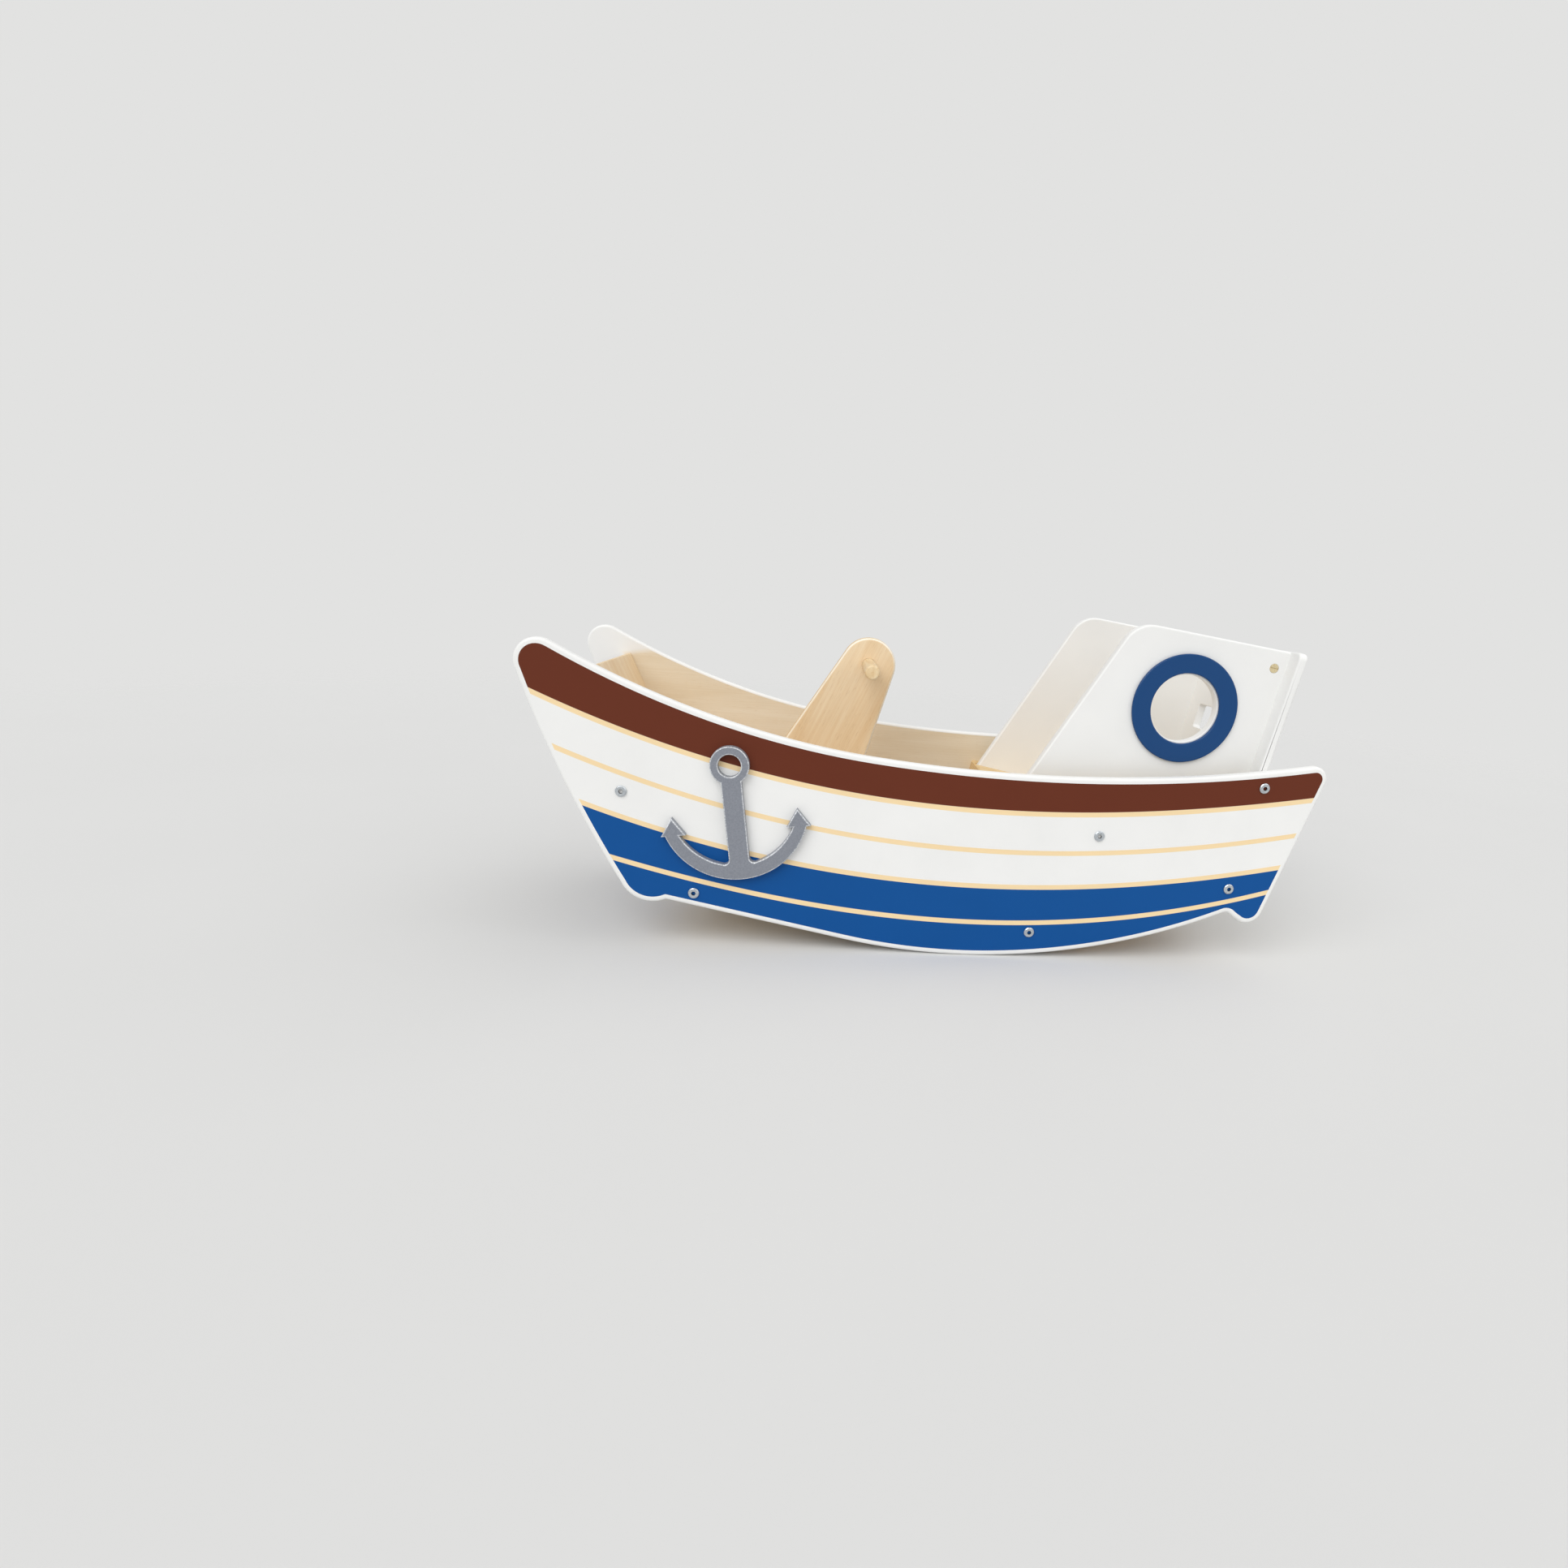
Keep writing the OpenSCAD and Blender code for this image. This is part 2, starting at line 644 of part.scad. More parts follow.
module cabin_wall() {
    color("white") difference() {
        slab(-cabin_w / 2, wall_t) polygon(cabin_outline);
        cross_bar(porthole, porthole_d, -cabin_w / 2 - over, wall_t + over - cabin_w / 2);
        in_stern() for (z = cabin_bolt_places) translate([-board_t / 2, cabin_mid_y, z]) {
            rotate([0, -90, 0]) translate([0, 0, -over])
                cylinder(d = bolt_bore, h = cabin_nut_inset + bolt_tail + 2 * over);
            translate([-cabin_nut_inset, 0, 0]) rotate([90, 0, 0])
                cylinder(d = nut_bore, h = wall_t + 2 * over, center = true);
        }
    }
}

module port_cabin_wall() {
    cabin_wall();
}

module starboard_cabin_wall() {
    mirror([0, 1, 0]) cabin_wall();
}

module porthole_ring() {
    color("royalblue") difference() {
        cross_bar(porthole, ring_d, -cabin_w / 2 - ring_t, -cabin_w / 2);
        cross_bar(porthole, ring_hole_d, -cabin_w / 2 - ring_t - over, over - cabin_w / 2);
    }
}

module port_porthole_ring() {
    porthole_ring();
}

module starboard_porthole_ring() {
    mirror([0, 1, 0]) porthole_ring();
}

// Handle

module handle_post() {
    color("burlywood") difference() {
        slab(-post_t / 2, post_t) polygon(post_outline);
        cross_bar(post_head, bar_d + 2 * fit, -post_t / 2 - over, post_t / 2 + over);
        for (p = post_bolt_places) turned(p, floor_tilt) {
            translate([0, 0, -over]) cylinder(d = bolt_bore, h = nut_inset + bolt_tail + 2 * over);
            translate([0, 0, nut_inset]) rotate([90, 0, 0])
                cylinder(d = nut_bore, h = post_t + 2 * over, center = true);
        }
    }
}

module handle_bar() {
    r = bar_d / 2;
    half = bar_len / 2;
    profile = [
        [0, -half], [r - bar_chamfer, -half], [r, bar_chamfer - half],
        [r, half - bar_chamfer], [r - bar_chamfer, half], [0, half]
    ];
    color("wheat") turned(post_head, 0) rotate([90, 0, 0]) rotate_extrude() polygon(profile);
}

// Trim

// One arm of the anchor with its fluke, on the +X side of the shank
module anchor_arm() {
    mid_r = arm_r - crown_w / 2;
    fluke_x = sqrt(mid_r * mid_r - pow(barb_drop - (anchor_h - arm_r), 2));
    reach = arm_r + over;
    difference() {
        translate([0, arm_r - anchor_h]) circle(r = arm_r, $fn = 4 * $fn);
        translate([0, arm_inner_r + crown_w - anchor_h]) circle(r = arm_inner_r, $fn = 4 * $fn);
        translate([-reach, -barb_drop]) square([2 * reach, 2 * reach]);
        translate([-reach, -anchor_h - over]) square([reach, 2 * reach]);
    }
    translate([fluke_x, -barb_drop]) polygon([[-fluke_w / 2, 0], [fluke_w / 2, 0], [0, fluke_h]]);
}

// The fillet between the shank and the inner edge of an arm
module anchor_fillet() {
    c = arm_inner_r + crown_w - anchor_h;
    x = shank_w / 2 + crown_fillet_r;
    z = c - sqrt(pow(arm_inner_r - crown_fillet_r, 2) - x * x);
    foot = c - sqrt(arm_inner_r * arm_inner_r - x * x) - crown_w / 2;
    difference() {
        translate([0, foot]) square([x, z - foot]);
        translate([x, z]) circle(r = crown_fillet_r);
    }
}

module anchor_shape() {
    difference() {
        union() {
            circle(d = eye_d, $fn = 2 * $fn);
            translate([-shank_w / 2, crown_w / 2 - anchor_h]) square([shank_w, anchor_h - crown_w / 2]);
            for (s = [0, 1]) mirror([s, 0]) {
                anchor_arm();
                anchor_fillet();
            }
        }
        circle(d = eye_hole_d, $fn = 2 * $fn);
    }
}

module anchor() {
    color("slategray") difference() {
        slab(-hull_w / 2 - trim_t, trim_t) translate(anchor_eye) rotate(anchor_lean) anchor_shape();
        for (p = anchor_pins_at)
            cross_bar(p, dowel_bore, -hull_w / 2 - pin_seat - fit, over - hull_w / 2);
    }
}

module life_ring() {
    color("crimson") mirror([0, 1, 0]) difference() {
        cross_bar(life_c, life_d, -hull_w / 2 - trim_t, -hull_w / 2);
        cross_bar(life_c, life_hole_d, -hull_w / 2 - trim_t - over, over - hull_w / 2);
        for (p = life_pins_at)
            cross_bar(p, dowel_bore, -hull_w / 2 - pin_seat - fit, over - hull_w / 2);
    }
}

module trim_pins(places) {
    for (p = places) cross_bar(p, dowel_d, -hull_w / 2 - pin_seat, dowel_seat - hull_w / 2);
}

module anchor_pins() {
    color("tan") trim_pins(anchor_pins_at);
}

module life_ring_pins() {
    color("tan") mirror([0, 1, 0]) trim_pins(life_pins_at);
}

// Bolts

module side_bolts() {
    color("silver") {
        for (p = board_bolts) side_bolt(p, side_t + nut_inset + bolt_tail);
        side_bolt(seat_bolt, side_t + seat_nut_inset + bolt_tail);
    }
}

module port_side_bolts() {
    side_bolts();
}

module starboard_side_bolts() {
    mirror([0, 1, 0]) side_bolts();
}

module cabin_bolts() {
    color("silver") both_sides() in_stern() for (z = cabin_bolt_places)
        translate([board_t / 2, cabin_mid_y, z]) rotate([0, 90, 0])
            bolt(board_t + cabin_nut_inset + bolt_tail);
}

module post_bolts() {
    color("silver") for (p = post_bolt_places) turned(p, floor_tilt)
        translate([0, 0, -board_t]) rotate([180, 0, 0]) bolt(board_t + nut_inset + bolt_tail);
}

// Barrel nuts

module bow_barrel_nuts() {
    color("goldenrod") both_sides() translate([0, side_nut_y, 0]) turned(bow_bolt, -bow_rake)
        rotate([0, 90, 0]) barrel_nut(board_t, nut_floor, 90);
}

module floor_barrel_nuts() {
    color("goldenrod") both_sides() for (p = [floor_front_bolt, floor_rear_bolt])
        translate([0, side_nut_y, 0]) turned(p, floor_tilt) rotate([180, 0, 0])
            barrel_nut(board_t, nut_floor, 90);
}

module seat_barrel_nuts() {
    color("goldenrod") both_sides() translate([0, seat_nut_y, 0]) turned(seat_bolt, stern_lean)
        rotate([180, 0, 0]) barrel_nut(seat_t, nut_floor, 90);
}

module stern_barrel_nuts() {
    color("goldenrod") both_sides() for (p = [stern_upper_bolt, stern_lower_bolt])
        translate([0, side_nut_y, 0]) turned(p, stern_lean) rotate([0, 90, 0]) barrel_nut(board_t, 0, 90);
}

module cabin_barrel_nuts() {
    color("goldenrod") both_sides() in_stern() for (z = cabin_bolt_places)
        translate([-board_t / 2 - cabin_nut_inset, cabin_mid_y, z])
            rotate([90, 0, 0]) barrel_nut(wall_t, 0, 0);
}

module post_barrel_nuts() {
    color("goldenrod") for (p = post_bolt_places) turned(p, floor_tilt)
        translate([0, 0, nut_inset]) rotate([90, 0, 0]) barrel_nut(post_t, 0, 90);
}

// Dowels

module bow_dowels() {
    color("tan") both_sides() for (s = [-1, 1])
        cross_bar(
            bow_bolt + s * bow_dowel_gap * dir(bow_down), dowel_d,
            -inner_w / 2 - dowel_seat, dowel_len - inner_w / 2
        );
}

module seat_dowels() {
    place = side_of(dir(-stern_lean), seat_bolt - stern_foot);
    color("tan") both_sides() in_stern()
        translate([-board_t / 2 - dowel_len, -seat_dowel_y, place]) rotate([0, 90, 0])
            cylinder(d = dowel_d, h = dowel_len + dowel_seat);
}

port_side_panel();
starboard_side_panel();
bow_panel();
stern_panel();
port_cabin_wall();
starboard_cabin_wall();
seat_board();
floor_board();
handle_post();
handle_bar();
port_porthole_ring();
starboard_porthole_ring();
anchor();
life_ring();
port_side_bolts();
starboard_side_bolts();
cabin_bolts();
post_bolts();
bow_barrel_nuts();
floor_barrel_nuts();
seat_barrel_nuts();
stern_barrel_nuts();
cabin_barrel_nuts();
post_barrel_nuts();
bow_dowels();
seat_dowels();
anchor_pins();
life_ring_pins();
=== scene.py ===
"""Looks of the rocking boat toy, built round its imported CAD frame.

Metres, in the CAD frame: +X points to the stern, -Y is the port side with the anchor, +Z is up.
Each board is a copy of its CAD node with eased edges and its own finish. The two sides are drawn
anew from their CAD outline, with a few small corrections. Rings and the hand bar are turned by a
spin, and dowels and pins keep their CAD solids.
"""

from __future__ import annotations

import logging
import math
from collections.abc import Callable, Iterable
from dataclasses import dataclass
from enum import Enum

import bmesh
import bpy
from bmesh.types import BMEdge, BMesh, BMFace, BMVert
from bpy.types import Material, Node, NodeSocket, NodeTree, Object
from mathutils import Matrix, Vector

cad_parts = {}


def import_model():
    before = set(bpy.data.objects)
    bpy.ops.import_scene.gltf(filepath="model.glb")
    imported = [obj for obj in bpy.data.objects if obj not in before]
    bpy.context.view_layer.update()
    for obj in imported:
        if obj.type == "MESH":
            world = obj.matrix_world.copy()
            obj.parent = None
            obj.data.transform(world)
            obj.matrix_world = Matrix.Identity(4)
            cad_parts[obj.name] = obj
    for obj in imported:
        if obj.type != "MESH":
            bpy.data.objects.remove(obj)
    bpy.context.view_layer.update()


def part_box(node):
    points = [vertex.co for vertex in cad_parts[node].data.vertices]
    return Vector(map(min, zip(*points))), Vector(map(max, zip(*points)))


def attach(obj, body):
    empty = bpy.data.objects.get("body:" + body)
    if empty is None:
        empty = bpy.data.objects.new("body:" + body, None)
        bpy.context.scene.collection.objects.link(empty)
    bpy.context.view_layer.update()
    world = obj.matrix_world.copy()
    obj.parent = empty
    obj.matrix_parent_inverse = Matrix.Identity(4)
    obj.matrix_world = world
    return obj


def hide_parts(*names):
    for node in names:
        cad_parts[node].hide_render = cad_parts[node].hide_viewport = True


LOG = logging.getLogger("rocking_boat")
BODY = "root"
MM = 0.001
# Directions in the CAD frame
AFT, ACROSS, UP = Vector((1.0, 0.0, 0.0)), Vector((0.0, 1.0, 0.0)), Vector((0.0, 0.0, 1.0))
# Slopes of the boards down to the stern, in degrees
BOW_SLOPE, FLOOR_SLOPE, SEAT_SLOPE = 65.2, 4.9, 10.5
# Thickness of one layer in millimetres: of the 7 in the thin boards, and of the 11 in the seat and the post
THIN_PLY, THICK_PLY = 1.43, 1.36
# Cosine above which a face faces a way, or an edge runs along it
SQUARE = 0.99
# A CAD node's corners are joined within this distance, and its faces below this angle in degrees
WELD, FLAT = 0.002 * MM, 0.15
# The seam and the poles of a turned piece are joined within this distance
SEAM = 0.01 * MM
# Unit of x in the curves of the print, in millimetres
CURVE_UNIT = 100.0
# Sockets of Blender's Mix node when it mixes colours
FACTOR, FIRST, SECOND, MIXED = 0, 6, 7, 2
# A colour is one value, or the output of the nodes that draw it
Colour = tuple[float, float, float, float] | NodeSocket


class Tone(Enum):
    """The colours of the toy, as sRGB hex values."""

    WHITE = "#F2F2F0"
    BROWN = "#652D19"
    BLUE = "#004F95"
    CREAM = "#F8DDAE"
    RING_BLUE = "#004077"
    SILVER = "#8C9099"
    SILVER_DULL = "#82868F"
    # Painted highlight on the anchor's rounded rim
    SILVER_RIM_HIGHLIGHT = "#DFE2E5"
    # Painted reflection: the anchor's edge faces, lighter than its face for the white panel that they mirror
    SILVER_SIDE_REFLECTION = "#9EA2A9"
    RED = "#C0122A"
    BIRCH_LIGHT = "#F4DFBD"
    BIRCH_DARK = "#E6C79B"
    BIRCH_FLECK = "#B98F5C"
    # The post's arris: paler partly as sanded wood, partly as a painted highlight
    HIGHLIT_ARRIS_LIGHT = "#FBF3E4"
    HIGHLIT_ARRIS_DARK = "#F4E6CD"
    PALE_LIGHT = "#ECE1CC"
    PALE_DARK = "#E2D2B6"
    PALE_FLECK = "#CDB692"
    SEAT_LIGHT = "#EACF9C"
    SEAT_DARK = "#D9B57C"
    PLY_ALONG = "#E8CF9F"
    PLY_ACROSS = "#C8A06A"
    BEECH_LIGHT = "#EFD9B2"
    BEECH_DARK = "#DDBD8C"
    NICKEL = "#D3D8DC"
    NICKEL_DULL = "#B5BBC0"
    # Painted shade: the dark steel deep in the bolts' sockets
    SOCKET = "#3A3D40"
    ZINC = "#E8DAB4"
    ZINC_DULL = "#D2C096"
    PAPER = "#DADAD9"
    BACKGROUND = "#E2E2E1"


class Side(Enum):
    """The two sides of the boat, with the sign of Y on each."""

    PORT = -1
    STARBOARD = 1


def linear(tone: Tone) -> tuple[float, float, float, float]:
    """Turns a colour's sRGB hex value to linear light.

    Args:
        tone: The colour.

    Returns:
        Red, green, blue and alpha.
    """
    parts = (int(tone.value[i : i + 2], 16) / 255 for i in (1, 3, 5))
    red, green, blue = (p / 12.92 if p <= 0.04045 else ((p + 0.055) / 1.055) ** 2.4 for p in parts)
    return red, green, blue, 1.0


def put(tree: NodeTree, kind: str, links: dict | None = None, **settings: object) -> Node:
    """Adds one node with its settings and links.

    Args:
        tree: The material's node tree.
        kind: The node's type, after the words ShaderNode.
        links: For each input socket, the output to link to it or the value to set.
        settings: Properties of the node itself.

    Returns:
        The new node.
    """
    node = tree.nodes.new("ShaderNode" + kind)
    for name, value in settings.items():
        setattr(node, name, value)
    for socket, value in (links or {}).items():
        if isinstance(value, NodeSocket):
            tree.links.new(value, node.inputs[socket])
        else:
            node.inputs[socket].default_value = value
    return node


# Finishes


@dataclass(frozen=True)
class Finish:
    """What every finish shares: a name and a shader that its own nodes feed."""

    name: str

    def material(self) -> Material:
        """Makes the material once and hands out the same one after that.

        Returns:
            The material.
        """
        made = bpy.data.materials.get(self.name)
        if made:
            return made
        made = bpy.data.materials.new(self.name)
        made.use_nodes = True
        tree = made.node_tree
        tree.nodes.clear()
        shader = put(tree, "BsdfPrincipled")
        place = put(tree, "TexCoord").outputs["Object"]
        self.feed(tree, shader, place)
        put(tree, "OutputMaterial", {"Surface": self.cover(tree, shader.outputs[0], place)})
        return made

    def cover(self, tree: NodeTree, surface: NodeSocket, place: NodeSocket) -> NodeSocket:
        """The finished surface; most finishes leave the shader as it is."""
        return surface

    def feed(self, tree: NodeTree, shader: Node, place: NodeSocket) -> None:
        """Feeds the shader; each finish has its own way."""
        raise NotImplementedError

    def dress(
        self,
        tree: NodeTree,
        shader: Node,
        colour: NodeSocket,
        gloss: tuple[NodeSocket, float, float],
        relief: tuple[NodeSocket, float, float],
    ) -> None:
        """Links a colour, an uneven gloss and a fine relief to the shader.

        Args:
            tree: The material's node tree.
            shader: The Principled shader.
            colour: The colour.
            gloss: The noise that the roughness follows, its middle and how far it strays.
            relief: The noise that the surface follows, its strength and its depth in millimetres.
        """
        noise, middle, stray = gloss
        rough = put(tree, "MapRange", {"Value": noise, "To Min": middle - stray, "To Max": middle + stray})
        noise, strength, depth = relief
        bump = put(tree, "Bump", {"Height": noise, "Strength": strength, "Distance": depth * MM})
        tree.links.new(colour, shader.inputs["Base Color"])
        tree.links.new(rough.outputs[0], shader.inputs["Roughness"])
        tree.links.new(bump.outputs[0], shader.inputs["Normal"])


@dataclass(frozen=True)
class SprayedPaint(Finish):
    """Satin paint sprayed on plywood: a closed film with a faint ripple that softens highlights."""

    tone: Tone
    roughness: float = 0.38
    # The ripple of a sprayed film is finer: it is drawn this wide, in millimetres, to show at all
    ripple: float = 2.2
    # Width in millimetres of the soft patches where the film lies thicker, and how much they darken
    patch: float = 70.0
    patch_depth: float = 0.035
    # Share of light that the film mirrors: less than a gloss paint's 0.5
    mirror: float = 0.35
    # How far the roughness strays, and the ripple's strength and depth in millimetres
    stray: float = 0.06
    relief: tuple[float, float] = (0.25, 0.05)

    def colour(self, tree: NodeTree, place: NodeSocket) -> Colour:
        """The paint's colour before its patches: one tone all over, or a print's own."""
        return linear(self.tone)

    def feed(self, tree: NodeTree, shader: Node, place: NodeSocket) -> None:
        """Feeds the shader with the colour, the patches and the ripple.

        Args:
            tree: The material's node tree.
            shader: The Principled shader.
            place: Object coordinates.
        """
        patches = put(tree, "TexNoise", {"Vector": place, "Scale": 1 / (self.patch * MM), "Detail": 3.0})
        ripples = put(tree, "TexNoise", {"Vector": place, "Scale": 1 / (self.ripple * MM), "Detail": 1.0})
        thin = put(
            tree, "MapRange",
            {"Value": patches.outputs[0], "From Min": 0.3, "From Max": 0.7, "To Max": self.patch_depth},
        )
        black = (0.0, 0.0, 0.0, 1.0)
        tinted = put(
            tree, "Mix", {FACTOR: thin.outputs[0], FIRST: self.colour(tree, place), SECOND: black},
            data_type="RGBA",
        )
        shader.inputs["Specular IOR Level"].default_value = self.mirror
        gloss = (patches.outputs[0], self.roughness, self.stray)
        self.dress(tree, shader, tinted.outputs[MIXED], gloss, (ripples.outputs[0], *self.relief))


@dataclass(frozen=True)
class FloorPaper(SprayedPaint):
    """Matt paper that fades out towards its rim, so that the pale background has no edge."""

    # Radii in metres where the fade begins and ends
    fade: tuple[float, float] = (1.0, 2.0)

    def cover(self, tree: NodeTree, surface: NodeSocket, place: NodeSocket) -> NodeSocket:
        """Mixes the paper with clear air by the distance from the middle.

        Args:
            tree: The material's node tree.
            surface: The paper's shader.
            place: Object coordinates.

        Returns:
            The surface.
        """
        away = put(tree, "VectorMath", {0: place}, operation="LENGTH").outputs["Value"]
        gone = put(
            tree, "MapRange", {"Value": away, "From Min": self.fade[0], "From Max": self.fade[1]},
            interpolation_type="SMOOTHSTEP",
        )
        clear = put(tree, "BsdfTransparent")
        return put(tree, "MixShader", {0: gone.outputs[0], 1: surface, 2: clear.outputs[0]}).outputs[0]


@dataclass(frozen=True)
class StripeLine:
    """A long curve of the print: its height in millimetres is a cubic of x in units of CURVE_UNIT."""

    cubic: tuple[float, float, float, float]

    def rise(self, tree: NodeTree, x: NodeSocket, z: NodeSocket) -> NodeSocket:
        """How far a point lies above the curve.

        Args:
            tree: The material's node tree.
            x: The point's x in units of CURVE_UNIT.
            z: The point's height in millimetres.

        Returns:
            The rise in millimetres.
        """
        height: float | NodeSocket = self.cubic[0]
        for step in self.cubic[1:]:
            height = put(tree, "Math", {0: height, 1: x, 2: step}, operation="MULTIPLY_ADD").outputs[0]
        return put(tree, "Math", {0: z, 1: height}, operation="SUBTRACT").outputs[0]


@dataclass(frozen=True)
class HullPrint(SprayedPaint):
    """Screen print on white paint: flat inks with crisp edges that follow the sheer of the boat."""

    brown_foot: StripeLine = StripeLine((-0.139, 3.707, -6.155, 169.234))
    white_line: StripeLine = StripeLine((-0.081, 3.805, -6.233, 123.002))
    blue_head: StripeLine = StripeLine((-0.071, 3.779, -4.922, 79.899))
    blue_line: StripeLine = StripeLine((0.114, 4.016, -4.695, 40.653))
    # Width of the cream lines, in millimetres
    line_width: float = 5.4
    # The ink's edge blurs over this width, in millimetres
    edge: float = 0.3
    # Half the height in millimetres of an ink that runs out over the board's edge
    runout: float = 500.0

    def colour(self, tree: NodeTree, place: NodeSocket) -> Colour:
        """Draws the blue, the cream lines and the brown over the white.

        Args:
            tree: The material's node tree.
            place: Object coordinates.

        Returns:
            The print's colour.
        """
        axes = put(tree, "SeparateXYZ", {0: place})
        x, z = (
            put(tree, "Math", {0: axes.outputs[axis], 1: 1 / unit}, operation="MULTIPLY").outputs[0]
            for axis, unit in (("X", CURVE_UNIT * MM), ("Z", MM))
        )
        rises = {
            line: line.rise(tree, x, z)
            for line in (self.brown_foot, self.white_line, self.blue_head, self.blue_line)
        }
        half = self.line_width / 2
        # Ink, curve, middle of the ink above the curve, and half its height
        inks = (
            (Tone.BLUE, self.blue_head, -self.runout, self.runout),
            (Tone.CREAM, self.blue_head, half, half),
            (Tone.CREAM, self.blue_line, 0.0, half),
            (Tone.CREAM, self.white_line, 0.0, half),
            (Tone.CREAM, self.brown_foot, -half, half),
            (Tone.BROWN, self.brown_foot, self.runout, self.runout),
        )
        colour: Colour = linear(self.tone)
        for tone, line, middle, reach in inks:
            offset = put(tree, "Math", {0: rises[line], 1: middle}, operation="SUBTRACT").outputs[0]
            away = put(tree, "Math", {0: offset}, operation="ABSOLUTE").outputs[0]
            cover = put(
                tree, "MapRange",
                {"Value": away, "From Min": reach - self.edge / 2, "From Max": reach + self.edge / 2,
                 "To Min": 1.0, "To Max": 0.0},
            )
            colour = put(
                tree, "Mix", {FACTOR: cover.outputs[0], FIRST: colour, SECOND: linear(tone)}, data_type="RGBA"
            ).outputs[MIXED]
        return colour


@dataclass(frozen=True)
class LifeRingPaint(SprayedPaint):
    """Red paint with four white bands across the ring."""

    centre: tuple[float, float, float] = (0.0, 0.0, 0.0)
    # Where the first band lies and how wide each is, in degrees
    first_band: float = 45.0
    band_width: float = 25.0
    # How far a band's edge blurs to either side, in radians
    blur: float = 0.003

    def colour(self, tree: NodeTree, place: NodeSocket) -> Colour:
        """Draws the four bands by the angle round the ring.

        Args:
            tree: The material's node tree.
            place: Object coordinates.

        Returns:
            The ring's colour.
        """
        turn = (0.0, math.radians(-self.first_band), 0.0)
        local = put(
            tree, "Mapping", {"Vector": place, "Location": self.centre, "Rotation": turn},
            vector_type="TEXTURE",
        )
        axes = put(tree, "SeparateXYZ", {0: local.outputs[0]})
        angle = put(tree, "Math", {0: axes.outputs["Z"], 1: axes.outputs["X"]}, operation="ARCTAN2")
        quarter = math.radians(90)
        away = put(tree, "Math", {0: angle.outputs[0], 1: quarter / 2}, operation="ADD")
        away = put(tree, "Math", {0: away.outputs[0], 1: quarter}, operation="FLOORED_MODULO")
        away = put(tree, "Math", {0: away.outputs[0], 1: quarter / 2}, operation="SUBTRACT")
        away = put(tree, "Math", {0: away.outputs[0]}, operation="ABSOLUTE")
        half = math.radians(self.band_width) / 2
        cover = put(
            tree, "MapRange",
            {"Value": away.outputs[0], "From Min": half - self.blur, "From Max": half + self.blur,
             "To Min": 1.0, "To Max": 0.0},
        )
        return put(
            tree, "Mix", {FACTOR: cover.outputs[0], FIRST: linear(self.tone), SECOND: linear(Tone.WHITE)},
            data_type="RGBA",
        ).outputs[MIXED]


@dataclass(frozen=True)
class WoodFace(Finish):
    """Clear-lacquered veneer: long fibres, a broad soft figure and short dark flecks along the grain."""

    light: Tone = Tone.BIRCH_LIGHT
    dark: Tone = Tone.BIRCH_DARK
    fleck: Tone = Tone.BIRCH_FLECK
    # Turn of the grain in degrees, about X, then Y, then Z: the grain runs along the turned X
    turn: tuple[float, float, float] = (0.0, 0.0, 0.0)
    # Length and width in millimetres. Real fibres are finer: these are as coarse as they need to show
    fibre: tuple[float, float] = (90.0, 1.7)
    figure: tuple[float, float] = (260.0, 22.0)
    flecks: tuple[float, float] = (9.0, 0.9)
    # The fibres' share of the noise, where the figure has the rest, and its values at light and at dark
    fibre_share: float = 0.3
    shade: tuple[float, float] = (0.34, 0.66)
    # The noise values between which a fleck comes in, and how much it darkens
    fleck_span: tuple[float, float] = (0.68, 0.8)
    fleck_depth: float = 0.25
    roughness: float = 0.45
    # How far the roughness strays, and the fibres' strength and depth in millimetres
    stray: float = 0.08
    relief: tuple[float, float] = (0.2, 0.06)

    def feed(self, tree: NodeTree, shader: Node, place: NodeSocket) -> None:
        """Feeds the shader with the three scales of grain.

        Args:
            tree: The material's node tree.
            shader: The Principled shader.
            place: Object coordinates.
        """
        turn = tuple(math.radians(a) for a in self.turn)
        grain = {}
        for name, size, detail, bend in (
            ("fibre", self.fibre, 3.0, 0.2),
            ("figure", self.figure, 2.0, 0.9),
            ("flecks", self.flecks, 0.0, 0.0),
        ):
            along, across = (s * MM for s in size)
            local = put(
                tree, "Mapping", {"Vector": place, "Rotation": turn, "Scale": (along, across, across)},
                vector_type="TEXTURE",
            )
            grain[name] = put(
                tree, "TexNoise",
                {"Vector": local.outputs[0], "Scale": 1.0, "Detail": detail, "Distortion": bend},
            ).outputs[0]
        fibres = put(tree, "Math", {0: grain["fibre"], 1: self.fibre_share}, operation="MULTIPLY").outputs[0]
        figure = {0: grain["figure"], 1: 1 - self.fibre_share, 2: fibres}
        both = put(tree, "Math", figure, operation="MULTIPLY_ADD").outputs[0]
        pale, deep = self.shade
        shade = put(tree, "MapRange", {"Value": both, "From Min": pale, "From Max": deep})
        wood = put(
            tree, "Mix", {FACTOR: shade.outputs[0], FIRST: linear(self.light), SECOND: linear(self.dark)},
            data_type="RGBA",
        )
        bare, full = self.fleck_span
        spots = put(
            tree, "MapRange",
            {"Value": grain["flecks"], "From Min": bare, "From Max": full, "To Max": self.fleck_depth},
        )
        wood = put(
            tree, "Mix", {FACTOR: spots.outputs[0], FIRST: wood.outputs[MIXED], SECOND: linear(self.fleck)},
            data_type="RGBA",
        )
        colour = self.painted(tree, wood.outputs[MIXED], place)
        gloss = (grain["fibre"], self.roughness, self.stray)
        self.dress(tree, shader, colour, gloss, (grain["fibre"], *self.relief))

    def painted(self, tree: NodeTree, wood: NodeSocket, place: NodeSocket) -> NodeSocket:
        """The wood's colour with paint over part of it; most boards have none."""
        return wood


